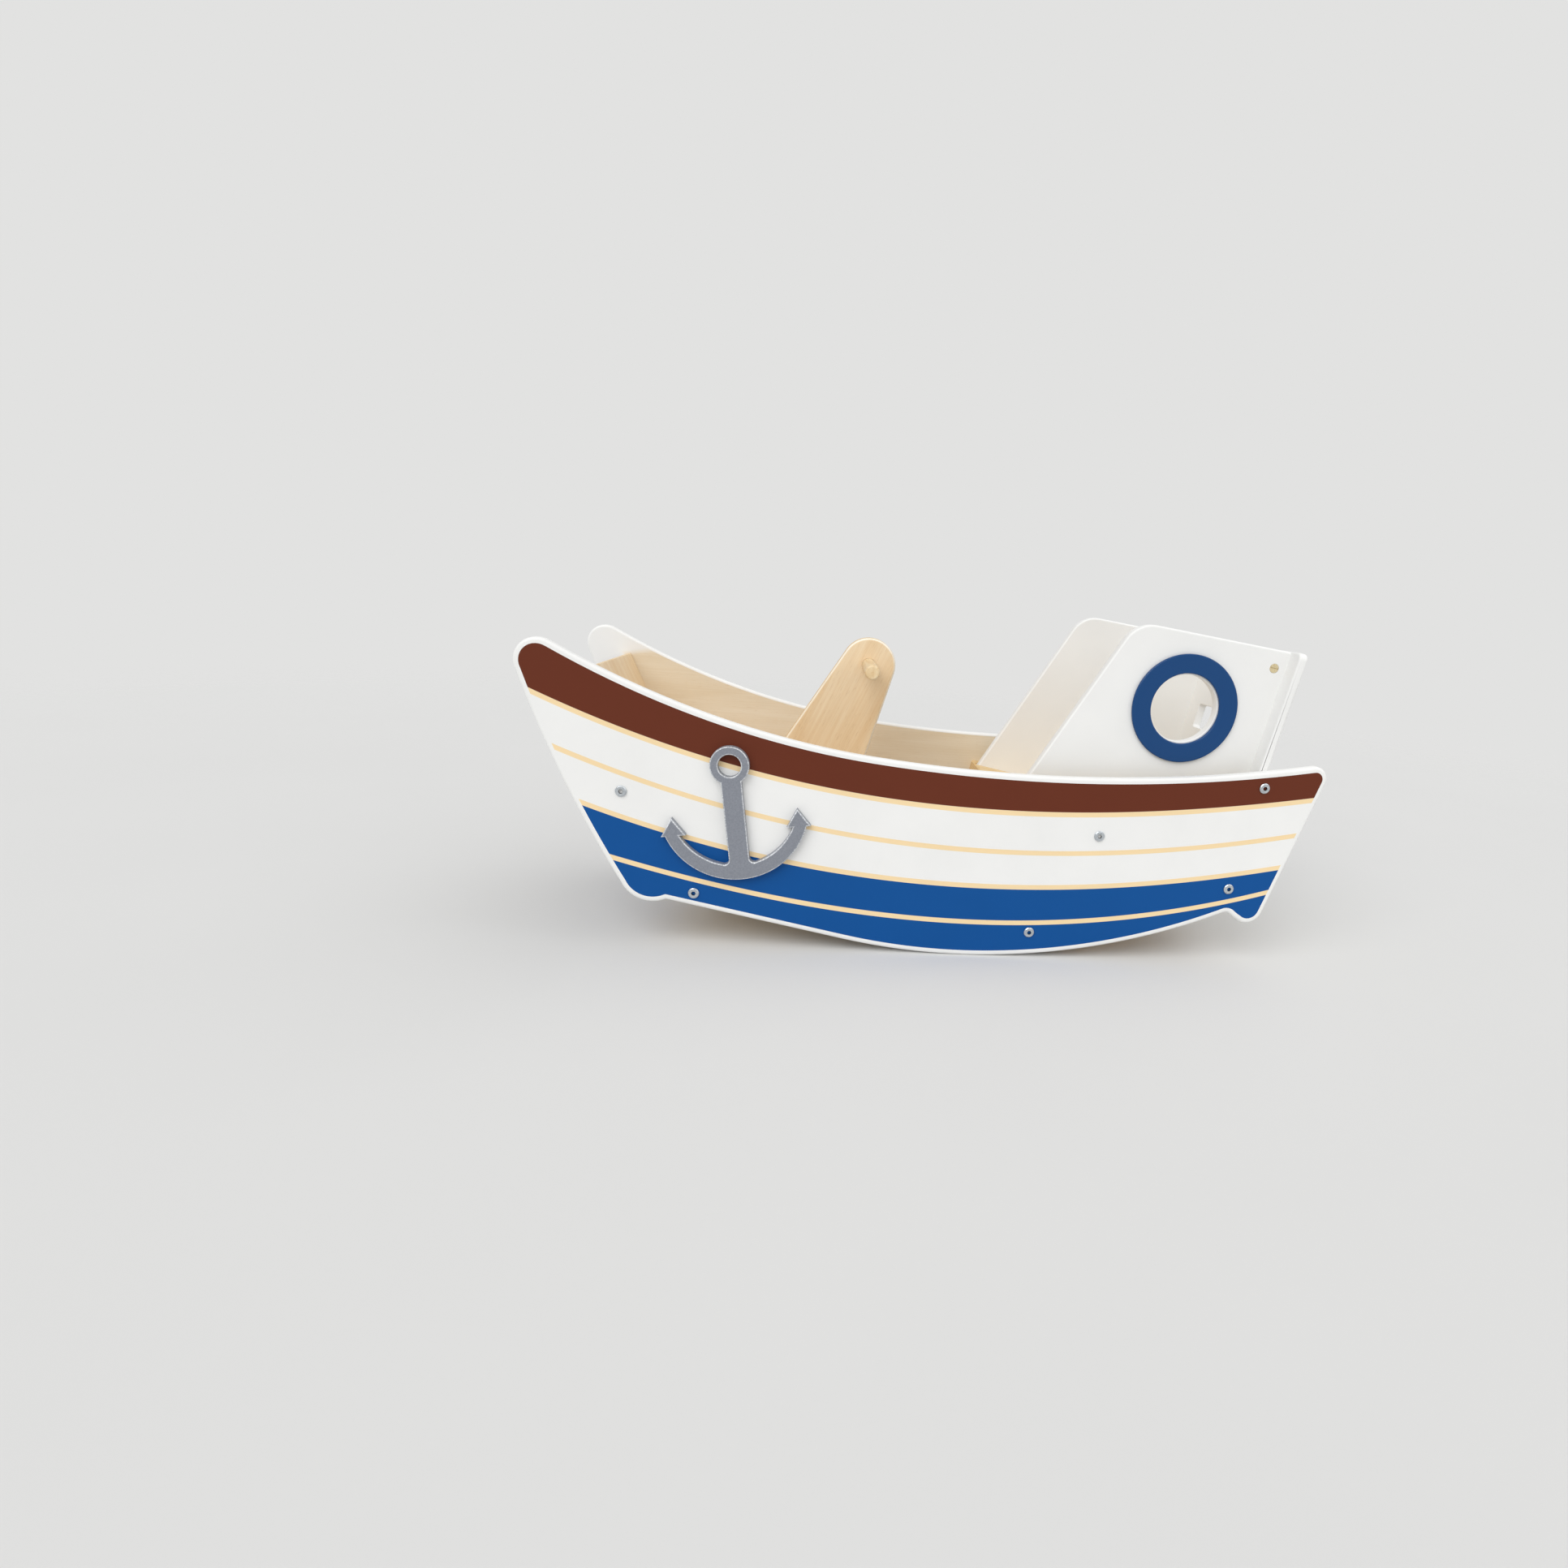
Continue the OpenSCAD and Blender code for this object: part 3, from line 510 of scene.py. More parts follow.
@dataclass(frozen=True)
class SprayedNose(WoodFace):
    """Pale veneer whose end towards the bow is sprayed white, with the soft edge that a spray leaves."""

    # Where the two paint edges meet, x and z in millimetres: behind the bow panel's upper end
    corner: tuple[float, float] = (-377.6, 281.8)
    # Slope of each paint edge from the level, in degrees: the first runs along the bow panel
    edges: tuple[float, float] = (-BOW_SLOPE, 11.0)
    # Which side of each edge is white: ahead of the first and above the second
    sides: tuple[int, int] = (-1, 1)
    # Width of the soft edge, in millimetres
    softness: float = 7.0

    def painted(self, tree: NodeTree, wood: NodeSocket, place: NodeSocket) -> NodeSocket:
        """Sprays the white over the veneer.

        Args:
            tree: The material's node tree.
            wood: The veneer's colour.
            place: Object coordinates.

        Returns:
            The colour with the paint.
        """
        x, z = self.corner
        corner = (x * MM, 0.0, z * MM)
        offset = put(tree, "VectorMath", {0: place, 1: corner}, operation="SUBTRACT").outputs[0]
        half = self.softness / 2 * MM
        covers = []
        for slope, side in zip(self.edges, self.sides):
            angle = math.radians(slope)
            square = (-math.sin(angle) * side, 0.0, math.cos(angle) * side)
            rise = put(tree, "VectorMath", {0: offset, 1: square}, operation="DOT_PRODUCT").outputs["Value"]
            cover = put(tree, "MapRange", {"Value": rise, "From Min": -half, "From Max": half})
            covers.append(cover.outputs[0])
        both = put(tree, "Math", {0: covers[0], 1: covers[1]}, operation="MAXIMUM").outputs[0]
        return put(
            tree, "Mix", {FACTOR: both, FIRST: wood, SECOND: linear(Tone.WHITE)}, data_type="RGBA"
        ).outputs[MIXED]


@dataclass(frozen=True)
class PlyEdge(Finish):
    """Sanded edge of birch plywood: thin layers, in turn light along the grain and darker across it."""

    turn: tuple[float, float, float] = (0.0, 0.0, 0.0)
    # A point in the middle of the board, a layer's thickness and a streak's length, in millimetres
    middle: tuple[float, float, float] = (0.0, 0.0, 0.0)
    layer: float = THIN_PLY
    streak: float = 14.0
    # Shares of the layers and of the streaks in the shade, and the shade where both are lightest
    layer_share: float = 0.7
    streak_share: float = 0.35
    lightest: float = -0.1
    roughness: float = 0.55
    # How far the roughness strays, and the layers' strength and depth in millimetres
    stray: float = 0.08
    relief: tuple[float, float] = (0.15, 0.05)

    def feed(self, tree: NodeTree, shader: Node, place: NodeSocket) -> None:
        """Feeds the shader with the layers and the short grain in them.

        Args:
            tree: The material's node tree.
            shader: The Principled shader.
            place: Object coordinates.
        """
        turn = tuple(math.radians(a) for a in self.turn)
        centre = tuple(c * MM for c in self.middle)
        cell = (self.streak * MM, self.streak * MM, self.layer * MM)
        local = put(
            tree, "Mapping", {"Vector": place, "Location": centre, "Rotation": turn, "Scale": cell},
            vector_type="TEXTURE",
        ).outputs[0]
        streak = put(tree, "TexNoise", {"Vector": local, "Scale": 1.0, "Detail": 3.0}).outputs[0]
        height = put(tree, "SeparateXYZ", {0: local}).outputs["Z"]
        fold = put(tree, "Math", {0: height, 1: 1.0}, operation="PINGPONG").outputs[0]
        layers = put(tree, "MapRange", {"Value": fold, "From Min": 0.4, "From Max": 0.6}).outputs[0]
        streaks = {0: streak, 1: self.streak_share, 2: self.lightest}
        blend = put(tree, "Math", streaks, operation="MULTIPLY_ADD").outputs[0]
        shades = {0: layers, 1: self.layer_share, 2: blend}
        share = put(tree, "Math", shades, operation="MULTIPLY_ADD", use_clamp=True).outputs[0]
        wood = put(
            tree, "Mix", {FACTOR: share, FIRST: linear(Tone.PLY_ALONG), SECOND: linear(Tone.PLY_ACROSS)},
            data_type="RGBA",
        )
        gloss = (streak, self.roughness, self.stray)
        self.dress(tree, shader, wood.outputs[MIXED], gloss, (layers, *self.relief))


@dataclass(frozen=True)
class MottledMetal(Finish):
    """Plated steel or metallic paint: a fine mottle of brighter and duller grains."""

    bright: Tone
    dull: Tone
    metallic: float = 1.0
    roughness: float = 0.3
    # Size of the grains in millimetres
    grain: float = 1.2
    # How far the roughness strays, and the mottle's strength and depth in millimetres
    stray: float = 0.07
    relief: tuple[float, float] = (0.12, 0.03)

    def feed(self, tree: NodeTree, shader: Node, place: NodeSocket) -> None:
        """Feeds the shader with the mottle.

        Args:
            tree: The material's node tree.
            shader: The Principled shader.
            place: Object coordinates.
        """
        mottle = put(
            tree, "TexNoise", {"Vector": place, "Scale": 1 / (self.grain * MM), "Detail": 3.0}
        ).outputs[0]
        share = put(tree, "MapRange", {"Value": mottle, "From Min": 0.35, "From Max": 0.65}).outputs[0]
        colour = put(
            tree, "Mix", {FACTOR: share, FIRST: linear(self.bright), SECOND: linear(self.dull)},
            data_type="RGBA",
        )
        shader.inputs["Metallic"].default_value = self.metallic
        gloss = (mottle, self.roughness, self.stray)
        self.dress(tree, shader, colour.outputs[MIXED], gloss, (mottle, *self.relief))


WHITE_PAINT = SprayedPaint("white satin paint", Tone.WHITE)
HULL_PRINT = HullPrint("screen print on white paint", Tone.WHITE, roughness=0.5, mirror=0.2)
RING_PAINT = SprayedPaint("blue gloss paint", Tone.RING_BLUE, roughness=0.24)
ANCHOR_PAINT = MottledMetal("silver-grey metallic paint", Tone.SILVER, Tone.SILVER_DULL, 0.2, 0.42, 1.5)
# Painted highlight: a pale silver on the anchor's rounding stands for the light that its edges catch
ANCHOR_HIGHLIGHT_RIM = MottledMetal("silver-grey paint, painted highlight on rim", Tone.SILVER_RIM_HIGHLIGHT, Tone.SILVER_SIDE_REFLECTION, 0.2, 0.3, 1.5)
# Painted reflection: the edge faces take a lighter silver for the white panel beside them
ANCHOR_SIDE_REFLECTION = MottledMetal("silver-grey paint, side", Tone.SILVER_SIDE_REFLECTION, Tone.SILVER_DULL, 0.2, 0.4, 1.5)
BOLT_METAL = MottledMetal("nickel-plated steel", Tone.NICKEL, Tone.NICKEL_DULL, 1.0, 0.3, 0.9)
# Painted shade: a dark, dull steel stands for the shade inside the hexagon sockets
SHADED_SOCKET_METAL = MottledMetal("nickel-plated steel, painted shade in socket", Tone.SOCKET, Tone.SOCKET, 0.6, 0.5, 0.9)
NUT_METAL = MottledMetal("yellow zinc-plated steel", Tone.ZINC, Tone.ZINC_DULL, 0.7, 0.45, 1.1)
PALE = {"light": Tone.PALE_LIGHT, "dark": Tone.PALE_DARK, "fleck": Tone.PALE_FLECK}
NOSE_BIRCH = SprayedNose("pale birch veneer with sprayed nose", turn=(-90.0, 0.0, 0.0), **PALE)
BEECH_ACROSS = WoodFace(
    "clear-lacquered beech", Tone.BEECH_LIGHT, Tone.BEECH_DARK, turn=(0.0, 0.0, 90.0),
    fibre=(60.0, 1.5), figure=(140.0, 9.0), flecks=(4.0, 0.8), roughness=0.4,
)


# Mesh helpers


def node_copy(node: str) -> BMesh:
    """A copy of a CAD node's mesh with its loose triangles joined into flat faces.

    Args:
        node: The CAD node.

    Returns:
        The copy.
    """
    mesh = bmesh.new()
    mesh.from_mesh(bpy.data.objects[node].data)
    bmesh.ops.remove_doubles(mesh, verts=mesh.verts, dist=WELD)
    bmesh.ops.dissolve_limit(mesh, angle_limit=math.radians(FLAT), verts=mesh.verts, edges=mesh.edges)
    return mesh


def total_length(edges: Iterable[BMEdge]) -> float:
    """The length of all edges together."""
    return sum(edge.calc_length() for edge in edges)


def edge_groups(edges: Iterable[BMEdge]) -> list[list[BMEdge]]:
    """Sorts edges into groups that hang together.

    Args:
        edges: The edges.

    Returns:
        The groups, with the shortest in all first.
    """
    # A dict keeps the order, so that each run gives the same groups
    left = dict.fromkeys(edges)
    groups = []
    while left:
        group = [left.popitem()[0]]
        for edge in group:
            for near in (other for vert in edge.verts for other in vert.link_edges if other in left):
                del left[near]
                group.append(near)
        groups.append(group)
    return sorted(groups, key=total_length)


def rim_edges(mesh: BMesh, smallest: float = 65 * MM, sharp: float = 35.0) -> list[BMEdge]:
    """The sharp edges of a mesh, without those round bolt and nut holes.

    Args:
        mesh: The mesh.
        smallest: Length of the shortest rim that counts.
        sharp: Least angle between two faces, in degrees.

    Returns:
        The edges.
    """
    found = [e for e in mesh.edges if e.is_manifold and e.calc_face_angle() > math.radians(sharp)]
    return [e for group in edge_groups(found) if total_length(group) > smallest for e in group]


def edge_way(edge: BMEdge) -> Vector:
    """The direction that an edge runs in."""
    return (edge.verts[1].co - edge.verts[0].co).normalized()


def sloped(way: Vector, slope: float) -> Vector:
    """A direction turned down to the stern by a slope in degrees."""
    return Matrix.Rotation(math.radians(slope), 3, "Y") @ way


def ease(mesh: BMesh, edges: list[BMEdge], radius: float, segments: int = 3, clamp: bool = False) -> None:
    """Rounds edges over.

    Args:
        mesh: The mesh.
        edges: The edges.
        radius: Radius of the rounding.
        segments: Faces across the rounding.
        clamp: Whether short edges nearby hold the radius down.
    """
    bmesh.ops.bevel(
        mesh, geom=edges, offset=radius, offset_type="OFFSET", segments=segments, profile=0.5,
        affect="EDGES", material=-1, clamp_overlap=clamp, loop_slide=False,
    )


def lathe(profile: list[tuple[float, float]], closed: bool, radius: float, steps: int) -> BMesh:
    """Turns a profile about the Y axis and rounds its corners.

    Args:
        profile: Distance from the axis and place along it, for each corner.
        closed: Whether the profile is a ring's section, and not a rod's half section.
        radius: Radius of the corners.
        steps: Faces round the axis.

    Returns:
        The turned piece, about the origin.
    """
    mesh = bmesh.new()
    verts = [mesh.verts.new((distance, along, 0.0)) for distance, along in profile]
    pairs = list(zip(verts, verts[1:]))
    if closed:
        pairs.append((verts[-1], verts[0]))
    for pair in pairs:
        mesh.edges.new(pair)
    corners = verts if closed else verts[1:-1]
    bmesh.ops.bevel(
        mesh, geom=corners, offset=radius, offset_type="OFFSET", segments=4, profile=0.5,
        affect="VERTICES", material=-1,
    )
    bmesh.ops.spin(
        mesh, geom=mesh.verts[:] + mesh.edges[:], cent=(0, 0, 0), axis=(0, 1, 0), dvec=(0, 0, 0),
        angle=math.tau, steps=steps, use_merge=True, use_duplicate=False,
    )
    bmesh.ops.remove_doubles(mesh, verts=mesh.verts, dist=SEAM)
    bmesh.ops.recalc_face_normals(mesh, faces=mesh.faces)
    return mesh


def turned_ring(node: str, inner: float, radius: float, steps: int) -> BMesh:
    """Turns a flat ring that fills the box of a CAD node.

    Args:
        node: The CAD node.
        inner: Half the ring's inner diameter.
        radius: Radius of its corners.
        steps: Faces round the axis.

    Returns:
        The ring in its place.
    """
    low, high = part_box(node)
    half, outer = (high.y - low.y) / 2, (high.z - low.z) / 2
    mesh = lathe([(inner, -half), (outer, -half), (outer, half), (inner, half)], True, radius, steps)
    bmesh.ops.translate(mesh, verts=mesh.verts, vec=(low + high) / 2)
    return mesh


def paint_faces(mesh: BMesh, slot: int, rule: Callable[[BMFace], bool]) -> None:
    """Gives the faces that a rule picks a material slot.

    Args:
        mesh: The mesh.
        slot: Number of the material slot.
        rule: Picks the faces.
    """
    mesh.normal_update()
    for face in mesh.faces:
        if rule(face):
            face.material_index = slot


def piece(mesh: BMesh, node: str, finishes: list[Finish], sharp: float = 40.0) -> Object:
    """Turns a bmesh into a finished piece that stands for a CAD node.

    Args:
        mesh: The piece's mesh, which is freed.
        node: The CAD node that it replaces.
        finishes: The finish of each material slot.
        sharp: Angle in degrees above which an edge stays sharp.

    Returns:
        The piece.
    """
    data = bpy.data.meshes.new(node + "_look")
    mesh.to_mesh(data)
    mesh.free()
    for finish in finishes:
        data.materials.append(finish.material())
    data.shade_smooth()
    data.set_sharp_from_angle(angle=math.radians(sharp))
    made = bpy.data.objects.new(node + "_look", data)
    bpy.context.scene.collection.objects.link(made)
    even = made.modifiers.new("even shading", "WEIGHTED_NORMAL")
    even.keep_sharp = True
    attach(made, BODY)
    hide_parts(node)
    LOG.info("%s: %d faces, finish %s", made.name, len(data.polygons), finishes[0].name)
    return made


# Sub-assemblies


@dataclass
class CrossBoard:
    """A lacquered board across the boat, with rounded long edges that show its plies."""

    node: str
    # Slope down to the stern, in degrees
    slope: float
    edge_round: float = 1.6 * MM
    light: Tone = Tone.BIRCH_LIGHT
    dark: Tone = Tone.BIRCH_DARK
    layer: float = THIN_PLY
    # Whether the face towards the bow carries the print, and the least area that counts as that face
    printed: bool = False
    print_area: float = 1000 * MM**2
    # A face shows plies when the cosine between it and the board is less
    edge_cosine: float = 0.5

    def build(self) -> None:
        """Builds and dresses the board."""
        turn = (0.0, self.slope, 0.0)
        low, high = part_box(self.node)
        middle = tuple((low + high) / 2 / MM)
        mesh = node_copy(self.node)
        ease(mesh, [e for e in rim_edges(mesh) if abs(edge_way(e).y) > SQUARE], self.edge_round)
        normal = sloped(UP, self.slope)
        paint_faces(mesh, 1, lambda f: abs(f.normal.dot(normal)) < self.edge_cosine)
        name = self.node.replace("_", " ")
        finishes = [
            WoodFace(f"clear-lacquered birch, {name}", self.light, self.dark, turn=turn),
            PlyEdge(f"birch ply edge, {name}", turn=turn, middle=middle, layer=self.layer),
        ]
        if self.printed:
            paint_faces(mesh, 2, lambda f: f.normal.dot(normal) < -SQUARE and f.calc_area() > self.print_area)
            finishes.append(HULL_PRINT)
        piece(mesh, self.node, finishes)


@dataclass
class Hull:
    """The two printed sides, the raked bow panel and the floor board."""

    edge_round: float = 3.2 * MM
    # Width of the white border between the rounded edge and the print
    border: float = 2.6 * MM
    # The CAD solid's outer face lies within this distance of its box
    skin: float = 0.1 * MM
    # Least angle in degrees between two faces whose edge is rounded
    corner: float = 60.0
    # The notch ahead of the rear stop, x and z: where its flank runs in the CAD outline, the foot of the
    # softer flank, and the peak. Both are rounded by a length along their edges
    notch_low: tuple[float, float] = (346.5 * MM, 55.0 * MM)
    notch_high: tuple[float, float] = (351.0 * MM, 72.0 * MM)
    notch_foot: tuple[float, float] = (344.2 * MM, 56.0 * MM)
    notch_peak: tuple[float, float] = (337.0 * MM, 62.1 * MM)
    notch_round: float = 4.5 * MM
    # How far the rocking edge sags at the peak, and the x where the sag begins
    sag: float = 4.0 * MM
    sag_start: float = 60.0 * MM
    # How far the rear stop stands ahead of the CAD outline's
    stop_ahead: float = 4.0 * MM
    # The bow edge: the x that it stays ahead of, how far it swells out, and the points on its curve
    bow_aft: float = -300.0 * MM
    bow_swell: float = 6.0 * MM
    bow_points: int = 15

    def swell_bow(self, mesh: BMesh) -> None:
        """Gives the straight bow edge its slight outward curve, a parabola from the nose to the forefoot.

        Args:
            mesh: The side's flat outer face.
        """
        ahead = [e for e in mesh.edges if all(v.co.x < self.bow_aft for v in e.verts)]
        edge = max(ahead, key=lambda e: e.calc_length())
        foot, head = sorted((v.co.copy() for v in edge.verts), key=lambda end: end.z)
        along = head - foot
        out = Vector((-along.z, 0.0, along.x)).normalized()
        cut = bmesh.ops.subdivide_edges(mesh, edges=[edge], cuts=self.bow_points)["geom_inner"]
        for vert in (v for v in cut if isinstance(v, BMVert)):
            share = (vert.co - foot).length / along.length
            vert.co += out * self.bow_swell * 4 * share * (1 - share)

    def soften_notch(self, mesh: BMesh, outer: float) -> None:
        """Lowers the rear of the rocking edge a little and runs it out into the rear stop in a soft curve.

        Args:
            mesh: The side's flat outer face.
            outer: Its place across the boat.
        """
        (x0, z0), (x1, z1) = self.notch_low, self.notch_high
        flank = [v for v in mesh.verts if x0 < v.co.x < x1 and z0 < v.co.z < z1]
        stop = [v for v in mesh.verts if v.co.x > x0 and v.co.z < z1]
        for vert in (v for v in mesh.verts if self.sag_start < v.co.x <= x0 and v.co.z < z1):
            share = (vert.co.x - self.sag_start) / (self.notch_peak[0] - self.sag_start)
            vert.co.z -= self.sag * share**2
        bmesh.ops.translate(mesh, verts=stop, vec=(-self.stop_ahead, 0.0, 0.0))
        foot, peak = (Vector((x, outer, z)) for x, z in (self.notch_foot, self.notch_peak))
        bmesh.ops.pointmerge(mesh, verts=flank, merge_co=foot)
        corners = [min(mesh.verts, key=lambda v: (v.co - place).length) for place in (foot, peak)]
        bmesh.ops.bevel(
            mesh, geom=corners, offset=self.notch_round, offset_type="OFFSET", segments=6, profile=0.5,
            affect="VERTICES", material=-1,
        )

    def side(self, side: Side) -> None:
        """Builds and dresses one side panel from the outline of its CAD solid.

        Args:
            side: Port or starboard.
        """
        node = f"{side.name.lower()}_side_panel"
        low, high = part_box(node)
        outer = low.y if side is Side.PORT else high.y
        mesh = node_copy(node)
        mesh.normal_update()
        away = [
            f for f in mesh.faces
            if f.normal.y * side.value < SQUARE or abs(f.calc_center_median().y - outer) > self.skin
        ]
        bmesh.ops.delete(mesh, geom=away, context="FACES")
        # The bolt and pin holes lie under heads and trim, so the face is closed over them
        *holes, _ = edge_groups(e for e in mesh.edges if e.is_boundary)
        for hole in holes:
            bmesh.ops.holes_fill(mesh, edges=hole, sides=0)
        bmesh.ops.dissolve_faces(mesh, faces=mesh.faces[:], use_verts=False)
        self.swell_bow(mesh)
        self.soften_notch(mesh, outer)
        sheet = mesh.faces[:]
        inner = bmesh.ops.extrude_face_region(mesh, geom=sheet)["geom"]
        back = [v for v in inner if isinstance(v, BMVert)]
        bmesh.ops.translate(mesh, verts=back, vec=(0.0, -side.value * (high.y - low.y), 0.0))
        bmesh.ops.recalc_face_normals(mesh, faces=mesh.faces)
        ease(mesh, rim_edges(mesh, sharp=self.corner), self.edge_round, segments=4)
        mesh.normal_update()
        front = [f for f in mesh.faces if f.normal.y * side.value > SQUARE]
        bmesh.ops.inset_region(mesh, faces=front, thickness=self.border, use_even_offset=True)
        for face in front:
            face.material_index = 1
        paint_faces(mesh, 2, lambda f: f.normal.y * side.value < -SQUARE)
        piece(mesh, node, [WHITE_PAINT, HULL_PRINT, NOSE_BIRCH])

    def build(self) -> None:
        """Builds and dresses the hull."""
        for side in Side:
            self.side(side)
        CrossBoard("bow_panel", BOW_SLOPE, printed=True).build()
        CrossBoard("floor_board", FLOOR_SLOPE).build()


@dataclass
class Cabin:
    """The stern panel with its windows, the two walls with their portholes, and the seat."""

    edge_round: float = 2.4 * MM
    hole_round: float = 1.0 * MM
    seat_round: float = 3.0 * MM
    ring_round: float = 1.3 * MM
    ring_steps: int = 128
    # Half the porthole ring's inner diameter
    ring_inner: float = 38.25 * MM

    def panel(self, node: str, butts: Iterable[Vector] = ()) -> None:
        """Builds and dresses a painted board with its edges rounded.

        Args:
            node: The CAD node.
            butts: Where the ends face that butt on another board and stay sharp.
        """
        mesh = node_copy(node)
        *holes, outline = edge_groups(rim_edges(mesh))
        free = [
            e for e in outline if all(f.normal.dot(way) < SQUARE for f in e.link_faces for way in butts)
        ]
        ease(mesh, [e for hole in holes for e in hole], self.hole_round)
        ease(mesh, [e for e in free if e.is_valid], self.edge_round)
        piece(mesh, node, [WHITE_PAINT])

    def ring(self, side: Side) -> None:
        """Builds and dresses a porthole ring.

        Args:
            side: Port or starboard.
        """
        node = f"{side.name.lower()}_porthole_ring"
        mesh = turned_ring(node, self.ring_inner, self.ring_round, self.ring_steps)
        piece(mesh, node, [RING_PAINT])

    def build(self) -> None:
        """Builds and dresses the cabin."""
        butts = [sloped(-UP, SEAT_SLOPE), sloped(AFT, SEAT_SLOPE)]
        self.panel("stern_panel")
        for side in Side:
            self.panel(f"{side.name.lower()}_cabin_wall", butts)
            self.ring(side)
        seat = CrossBoard(
            "seat_board", SEAT_SLOPE, self.seat_round, Tone.SEAT_LIGHT, Tone.SEAT_DARK, THICK_PLY
        )
        seat.build()


@dataclass
class Handle:
    """The shaped post and the bar through its head."""

    post_round: float = 3.0 * MM
    # Slope of the post's grain, in degrees
    post_lean: float = 65.8
    # Cosines between which a face of the rounding counts as the pale arris, partly sanded wood and partly a
    # painted highlight
    arris: tuple[float, float] = (0.25, 0.98)
    bar_round: float = 2.4 * MM
    bar_steps: int = 48

    def build(self) -> None:
        """Builds and dresses the post and the bar."""
        turn = (-90.0, -self.post_lean, 0.0)
        low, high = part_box("handle_post")
        middle = tuple((low + high) / 2 / MM)
        mesh = node_copy("handle_post")
        faced = [e for e in rim_edges(mesh) if any(abs(f.normal.y) > SQUARE for f in e.link_faces)]
        ease(mesh, faced, self.post_round, segments=4)
        least, most = self.arris
        paint_faces(mesh, 1, lambda f: abs(f.normal.y) <= least)
        # The arris faces get a paler birch: partly sanded wood, partly a painted highlight along the rounded
        # edge
        paint_faces(mesh, 2, lambda f: least < abs(f.normal.y) < most)
        finishes = [
            WoodFace("clear-lacquered birch, post", turn=turn),
            PlyEdge("birch ply edge, post", turn=turn, middle=middle, layer=THICK_PLY),
            WoodFace("sanded birch arris, post", Tone.HIGHLIT_ARRIS_LIGHT, Tone.HIGHLIT_ARRIS_DARK, turn=turn),
        ]
        piece(mesh, "handle_post", finishes)
        low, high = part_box("handle_bar")
        half, radius = (high.y - low.y) / 2, (high.z - low.z) / 2
        profile = [(0.0, -half), (radius, -half), (radius, half), (0.0, half)]
        mesh = lathe(profile, False, self.bar_round, self.bar_steps)
        bmesh.ops.translate(mesh, verts=mesh.verts, vec=(low + high) / 2)
        piece(mesh, "handle_bar", [BEECH_ACROSS])


@dataclass
class Trim:
    """The anchor on the port side and the life ring on the starboard side."""

    anchor_round: float = 1.2 * MM
    # Cosines between which a face of the rounding counts as the anchor's rim, which carries a painted
    # highlight
    rim: tuple[float, float] = (0.1, 0.97)
    ring_round: float = 3.0 * MM
    # Half the life ring's inner diameter
    ring_inner: float = 42.0 * MM
    ring_steps: int = 128

    def build(self) -> None:
        """Builds and dresses the anchor and the life ring."""
        mesh = node_copy("anchor")
        faced = [e for e in rim_edges(mesh) if any(f.normal.y < -SQUARE for f in e.link_faces)]
        ease(mesh, faced, self.anchor_round)
        least, most = self.rim
        # Faces of the rounding get the pale silver: a painted highlight along the rim
        paint_faces(mesh, 1, lambda f: -most < f.normal.y < -least)
        # Faces across the thickness get the lighter silver: a painted reflection of the white panel
        paint_faces(mesh, 2, lambda f: abs(f.normal.y) <= least)
        piece(mesh, "anchor", [ANCHOR_PAINT, ANCHOR_HIGHLIGHT_RIM, ANCHOR_SIDE_REFLECTION])
        mesh = turned_ring("life_ring", self.ring_inner, self.ring_round, self.ring_steps)
        low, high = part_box("life_ring")
        bands = LifeRingPaint("red paint with white bands", Tone.RED, centre=tuple((low + high) / 2))
        piece(mesh, "life_ring", [bands])


@dataclass
class Fittings:
    """Bolts, barrel nuts, dowels and pins."""

    metal_round: float = 0.3 * MM
    # Angle in degrees above which an edge of the metal stays sharp
    sharp: float = 30.0
    # Reach of the hexagon socket from the bolt's axis; the faces within it carry the painted shade
    socket_reach: float = 2.65 * MM

    def broken(self, node: str) -> BMesh:
        """A copy of metal fittings with their edges broken.

        Args:
            node: The CAD node.

        Returns:
            The copy.
        """
        mesh = node_copy(node)
        ease(mesh, rim_edges(mesh, smallest=0.0), self.metal_round, segments=2, clamp=True)
        return mesh

    def bolts(self, node: str, axis: Vector) -> None:
        """Builds and dresses bolts whose sockets are painted in shade: a dark steel stands for the shade deep
        in each hexagon socket.

        Args:
            node: The CAD node.
            axis: Direction of the bolts.
        """
        mesh = self.broken(node)
        for group in edge_groups(mesh.edges):
            verts = {v for e in group for v in e.verts}
            centre = sum((v.co for v in verts), Vector()) / len(verts)
            inner = {v for v in verts if (v.co - centre).cross(axis).length < self.socket_reach}
            # The socket's faces get the dark steel, painted shade in the recess
            for face in {f for v in inner for f in v.link_faces if inner.issuperset(f.verts)}:
                face.material_index = 1
        piece(mesh, node, [BOLT_METAL, SHADED_SOCKET_METAL], sharp=self.sharp)

    def build(self) -> None:
        """Builds and dresses all fittings."""
        for side in Side:
            self.bolts(f"{side.name.lower()}_side_bolts", ACROSS)
        self.bolts("cabin_bolts", sloped(AFT, SEAT_SLOPE))
        self.bolts("post_bolts", sloped(UP, FLOOR_SLOPE))
        for board in ("bow", "floor", "seat", "stern", "cabin", "post"):
            node = f"{board}_barrel_nuts"
            piece(self.broken(node), node, [NUT_METAL], sharp=self.sharp)
        for node in ("bow_dowels", "seat_dowels", "anchor_pins", "life_ring_pins"):
            for place in bpy.data.objects[node].material_slots:
                place.material = BEECH_ACROSS.material()
            LOG.info("%s: CAD solid, finish %s", node, BEECH_ACROSS.name)


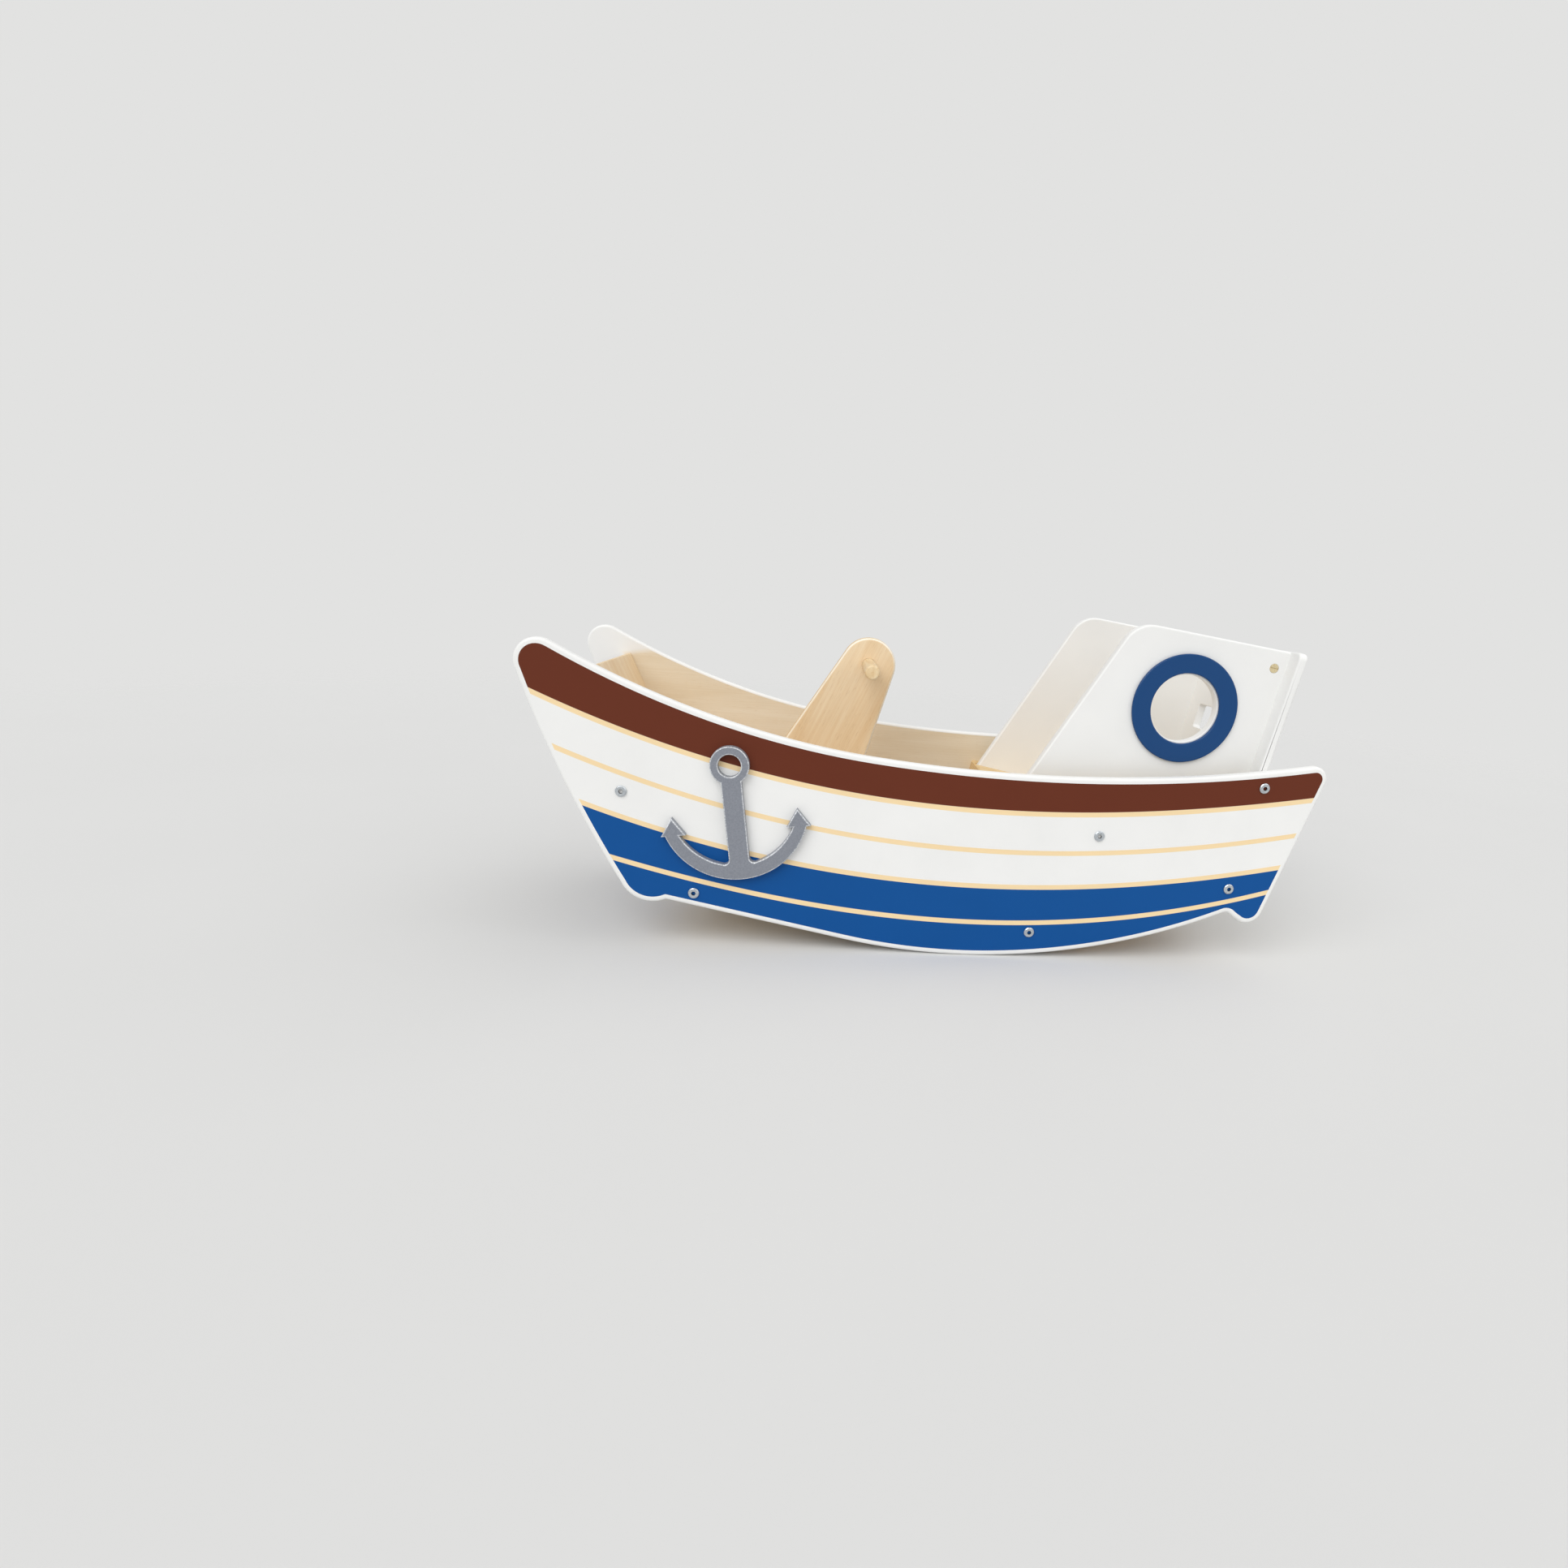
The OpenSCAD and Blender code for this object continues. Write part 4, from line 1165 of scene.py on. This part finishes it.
@dataclass
class Studio:
    """A round paper floor, soft lights and the camera."""

    floor_radius: float = 3.0
    floor_sides: int = 96
    # Shares of the radius where the floor's fade begins and ends
    fade: tuple[float, float] = (0.45, 0.97)
    # Where each soft light comes from, its width in degrees and its strength
    lights: tuple[tuple[tuple[float, float, float], float, float], ...] = (
        ((-0.55, -0.8, 0.9), 50.0, 1.65),
        ((0.75, -0.7, 0.7), 60.0, 0.5),
        ((0.6, 0.3, 1.0), 60.0, 0.6),
    )
    # Strength of the light from all round
    sky: float = 0.45
    # The camera stands before the middle of the picture's view and rolls, in degrees, with the rocked boat
    place: tuple[float, float, float] = (-0.1251, -0.996, 0.3832)
    target: tuple[float, float, float] = (-0.0201, 0.0, 0.1442)
    roll: float = 4.27
    # Its lens in millimetres, and the nearest and furthest that it sees in metres
    lens: float = 19.52
    clip: tuple[float, float] = (0.01, 50.0)
    # Width of the image, and the shift to the right and down that the framing needs, in pixels
    image: int = 1932
    shift: tuple[int, int] = (149, 14)

    def floor(self) -> None:
        """Builds the round floor, which fades into the pale background."""
        mesh = bmesh.new()
        bmesh.ops.create_circle(mesh, cap_ends=True, segments=self.floor_sides, radius=self.floor_radius)
        data = bpy.data.meshes.new("paper_floor")
        mesh.to_mesh(data)
        mesh.free()
        paper = FloorPaper(
            "matt floor paper", Tone.PAPER, roughness=0.9, ripple=6.0, patch=400.0, patch_depth=0.01,
            fade=tuple(share * self.floor_radius for share in self.fade),
        )
        data.materials.append(paper.material())
        floor = bpy.data.objects.new("paper_floor", data)
        bpy.context.scene.collection.objects.link(floor)

    def light(self) -> None:
        """Sets the three soft lights and the light from all round."""
        for number, (origin, width, strength) in enumerate(self.lights):
            data = bpy.data.lights.new(f"soft_light_{number}", "SUN")
            data.angle = math.radians(width)
            data.energy = strength
            light = bpy.data.objects.new(data.name, data)
            light.rotation_euler = Vector(origin).to_track_quat("Z", "Y").to_euler()
            bpy.context.scene.collection.objects.link(light)
        world = bpy.data.worlds.new("soft light")
        world.use_nodes = True
        tree = world.node_tree
        tree.nodes.clear()
        lit = put(tree, "Background", {"Color": (1.0, 1.0, 1.0, 1.0), "Strength": self.sky})
        seen = put(tree, "Background", {"Color": linear(Tone.BACKGROUND), "Strength": 1.0})
        path = put(tree, "LightPath").outputs
        shown = put(tree, "Math", {0: path["Is Camera Ray"], 1: path["Is Glossy Ray"]}, operation="MAXIMUM")
        shown = put(tree, "Math", {0: shown.outputs[0], 1: path["Is Transmission Ray"]}, operation="MAXIMUM")
        both = put(tree, "MixShader", {0: shown.outputs[0], 1: lit.outputs[0], 2: seen.outputs[0]})
        put(tree, "OutputWorld", {"Surface": both.outputs[0]})
        bpy.context.scene.world = world

    def photograph(self) -> None:
        """Sets up the camera with the view settings."""
        ahead = (Vector(self.target) - Vector(self.place)).normalized()
        level = ahead.cross(UP).normalized()
        right = Matrix.Rotation(math.radians(-self.roll), 3, ahead) @ level
        above = right.cross(ahead)
        data = bpy.data.cameras.new("camera")
        data.lens = self.lens
        data.shift_x = -self.shift[0] / self.image
        data.shift_y = self.shift[1] / self.image
        data.clip_start, data.clip_end = self.clip
        camera = bpy.data.objects.new("camera", data)
        axes = Matrix((right, above, -ahead)).transposed().to_4x4()
        camera.matrix_world = Matrix.Translation(self.place) @ axes
        scene = bpy.context.scene
        scene.collection.objects.link(camera)
        scene.camera = camera
        scene.view_settings.view_transform = "Standard"

    def build(self) -> None:
        """Builds the studio."""
        self.floor()
        self.light()
        self.photograph()


def main() -> None:
    """Builds the boat round its frame."""
    logging.basicConfig(level=logging.INFO, format="%(message)s")
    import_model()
    for assembly in (Hull(), Cabin(), Handle(), Trim(), Fittings(), Studio()):
        LOG.info("building %s", type(assembly).__name__)
        assembly.build()


if __name__ == "__main__":
    main()
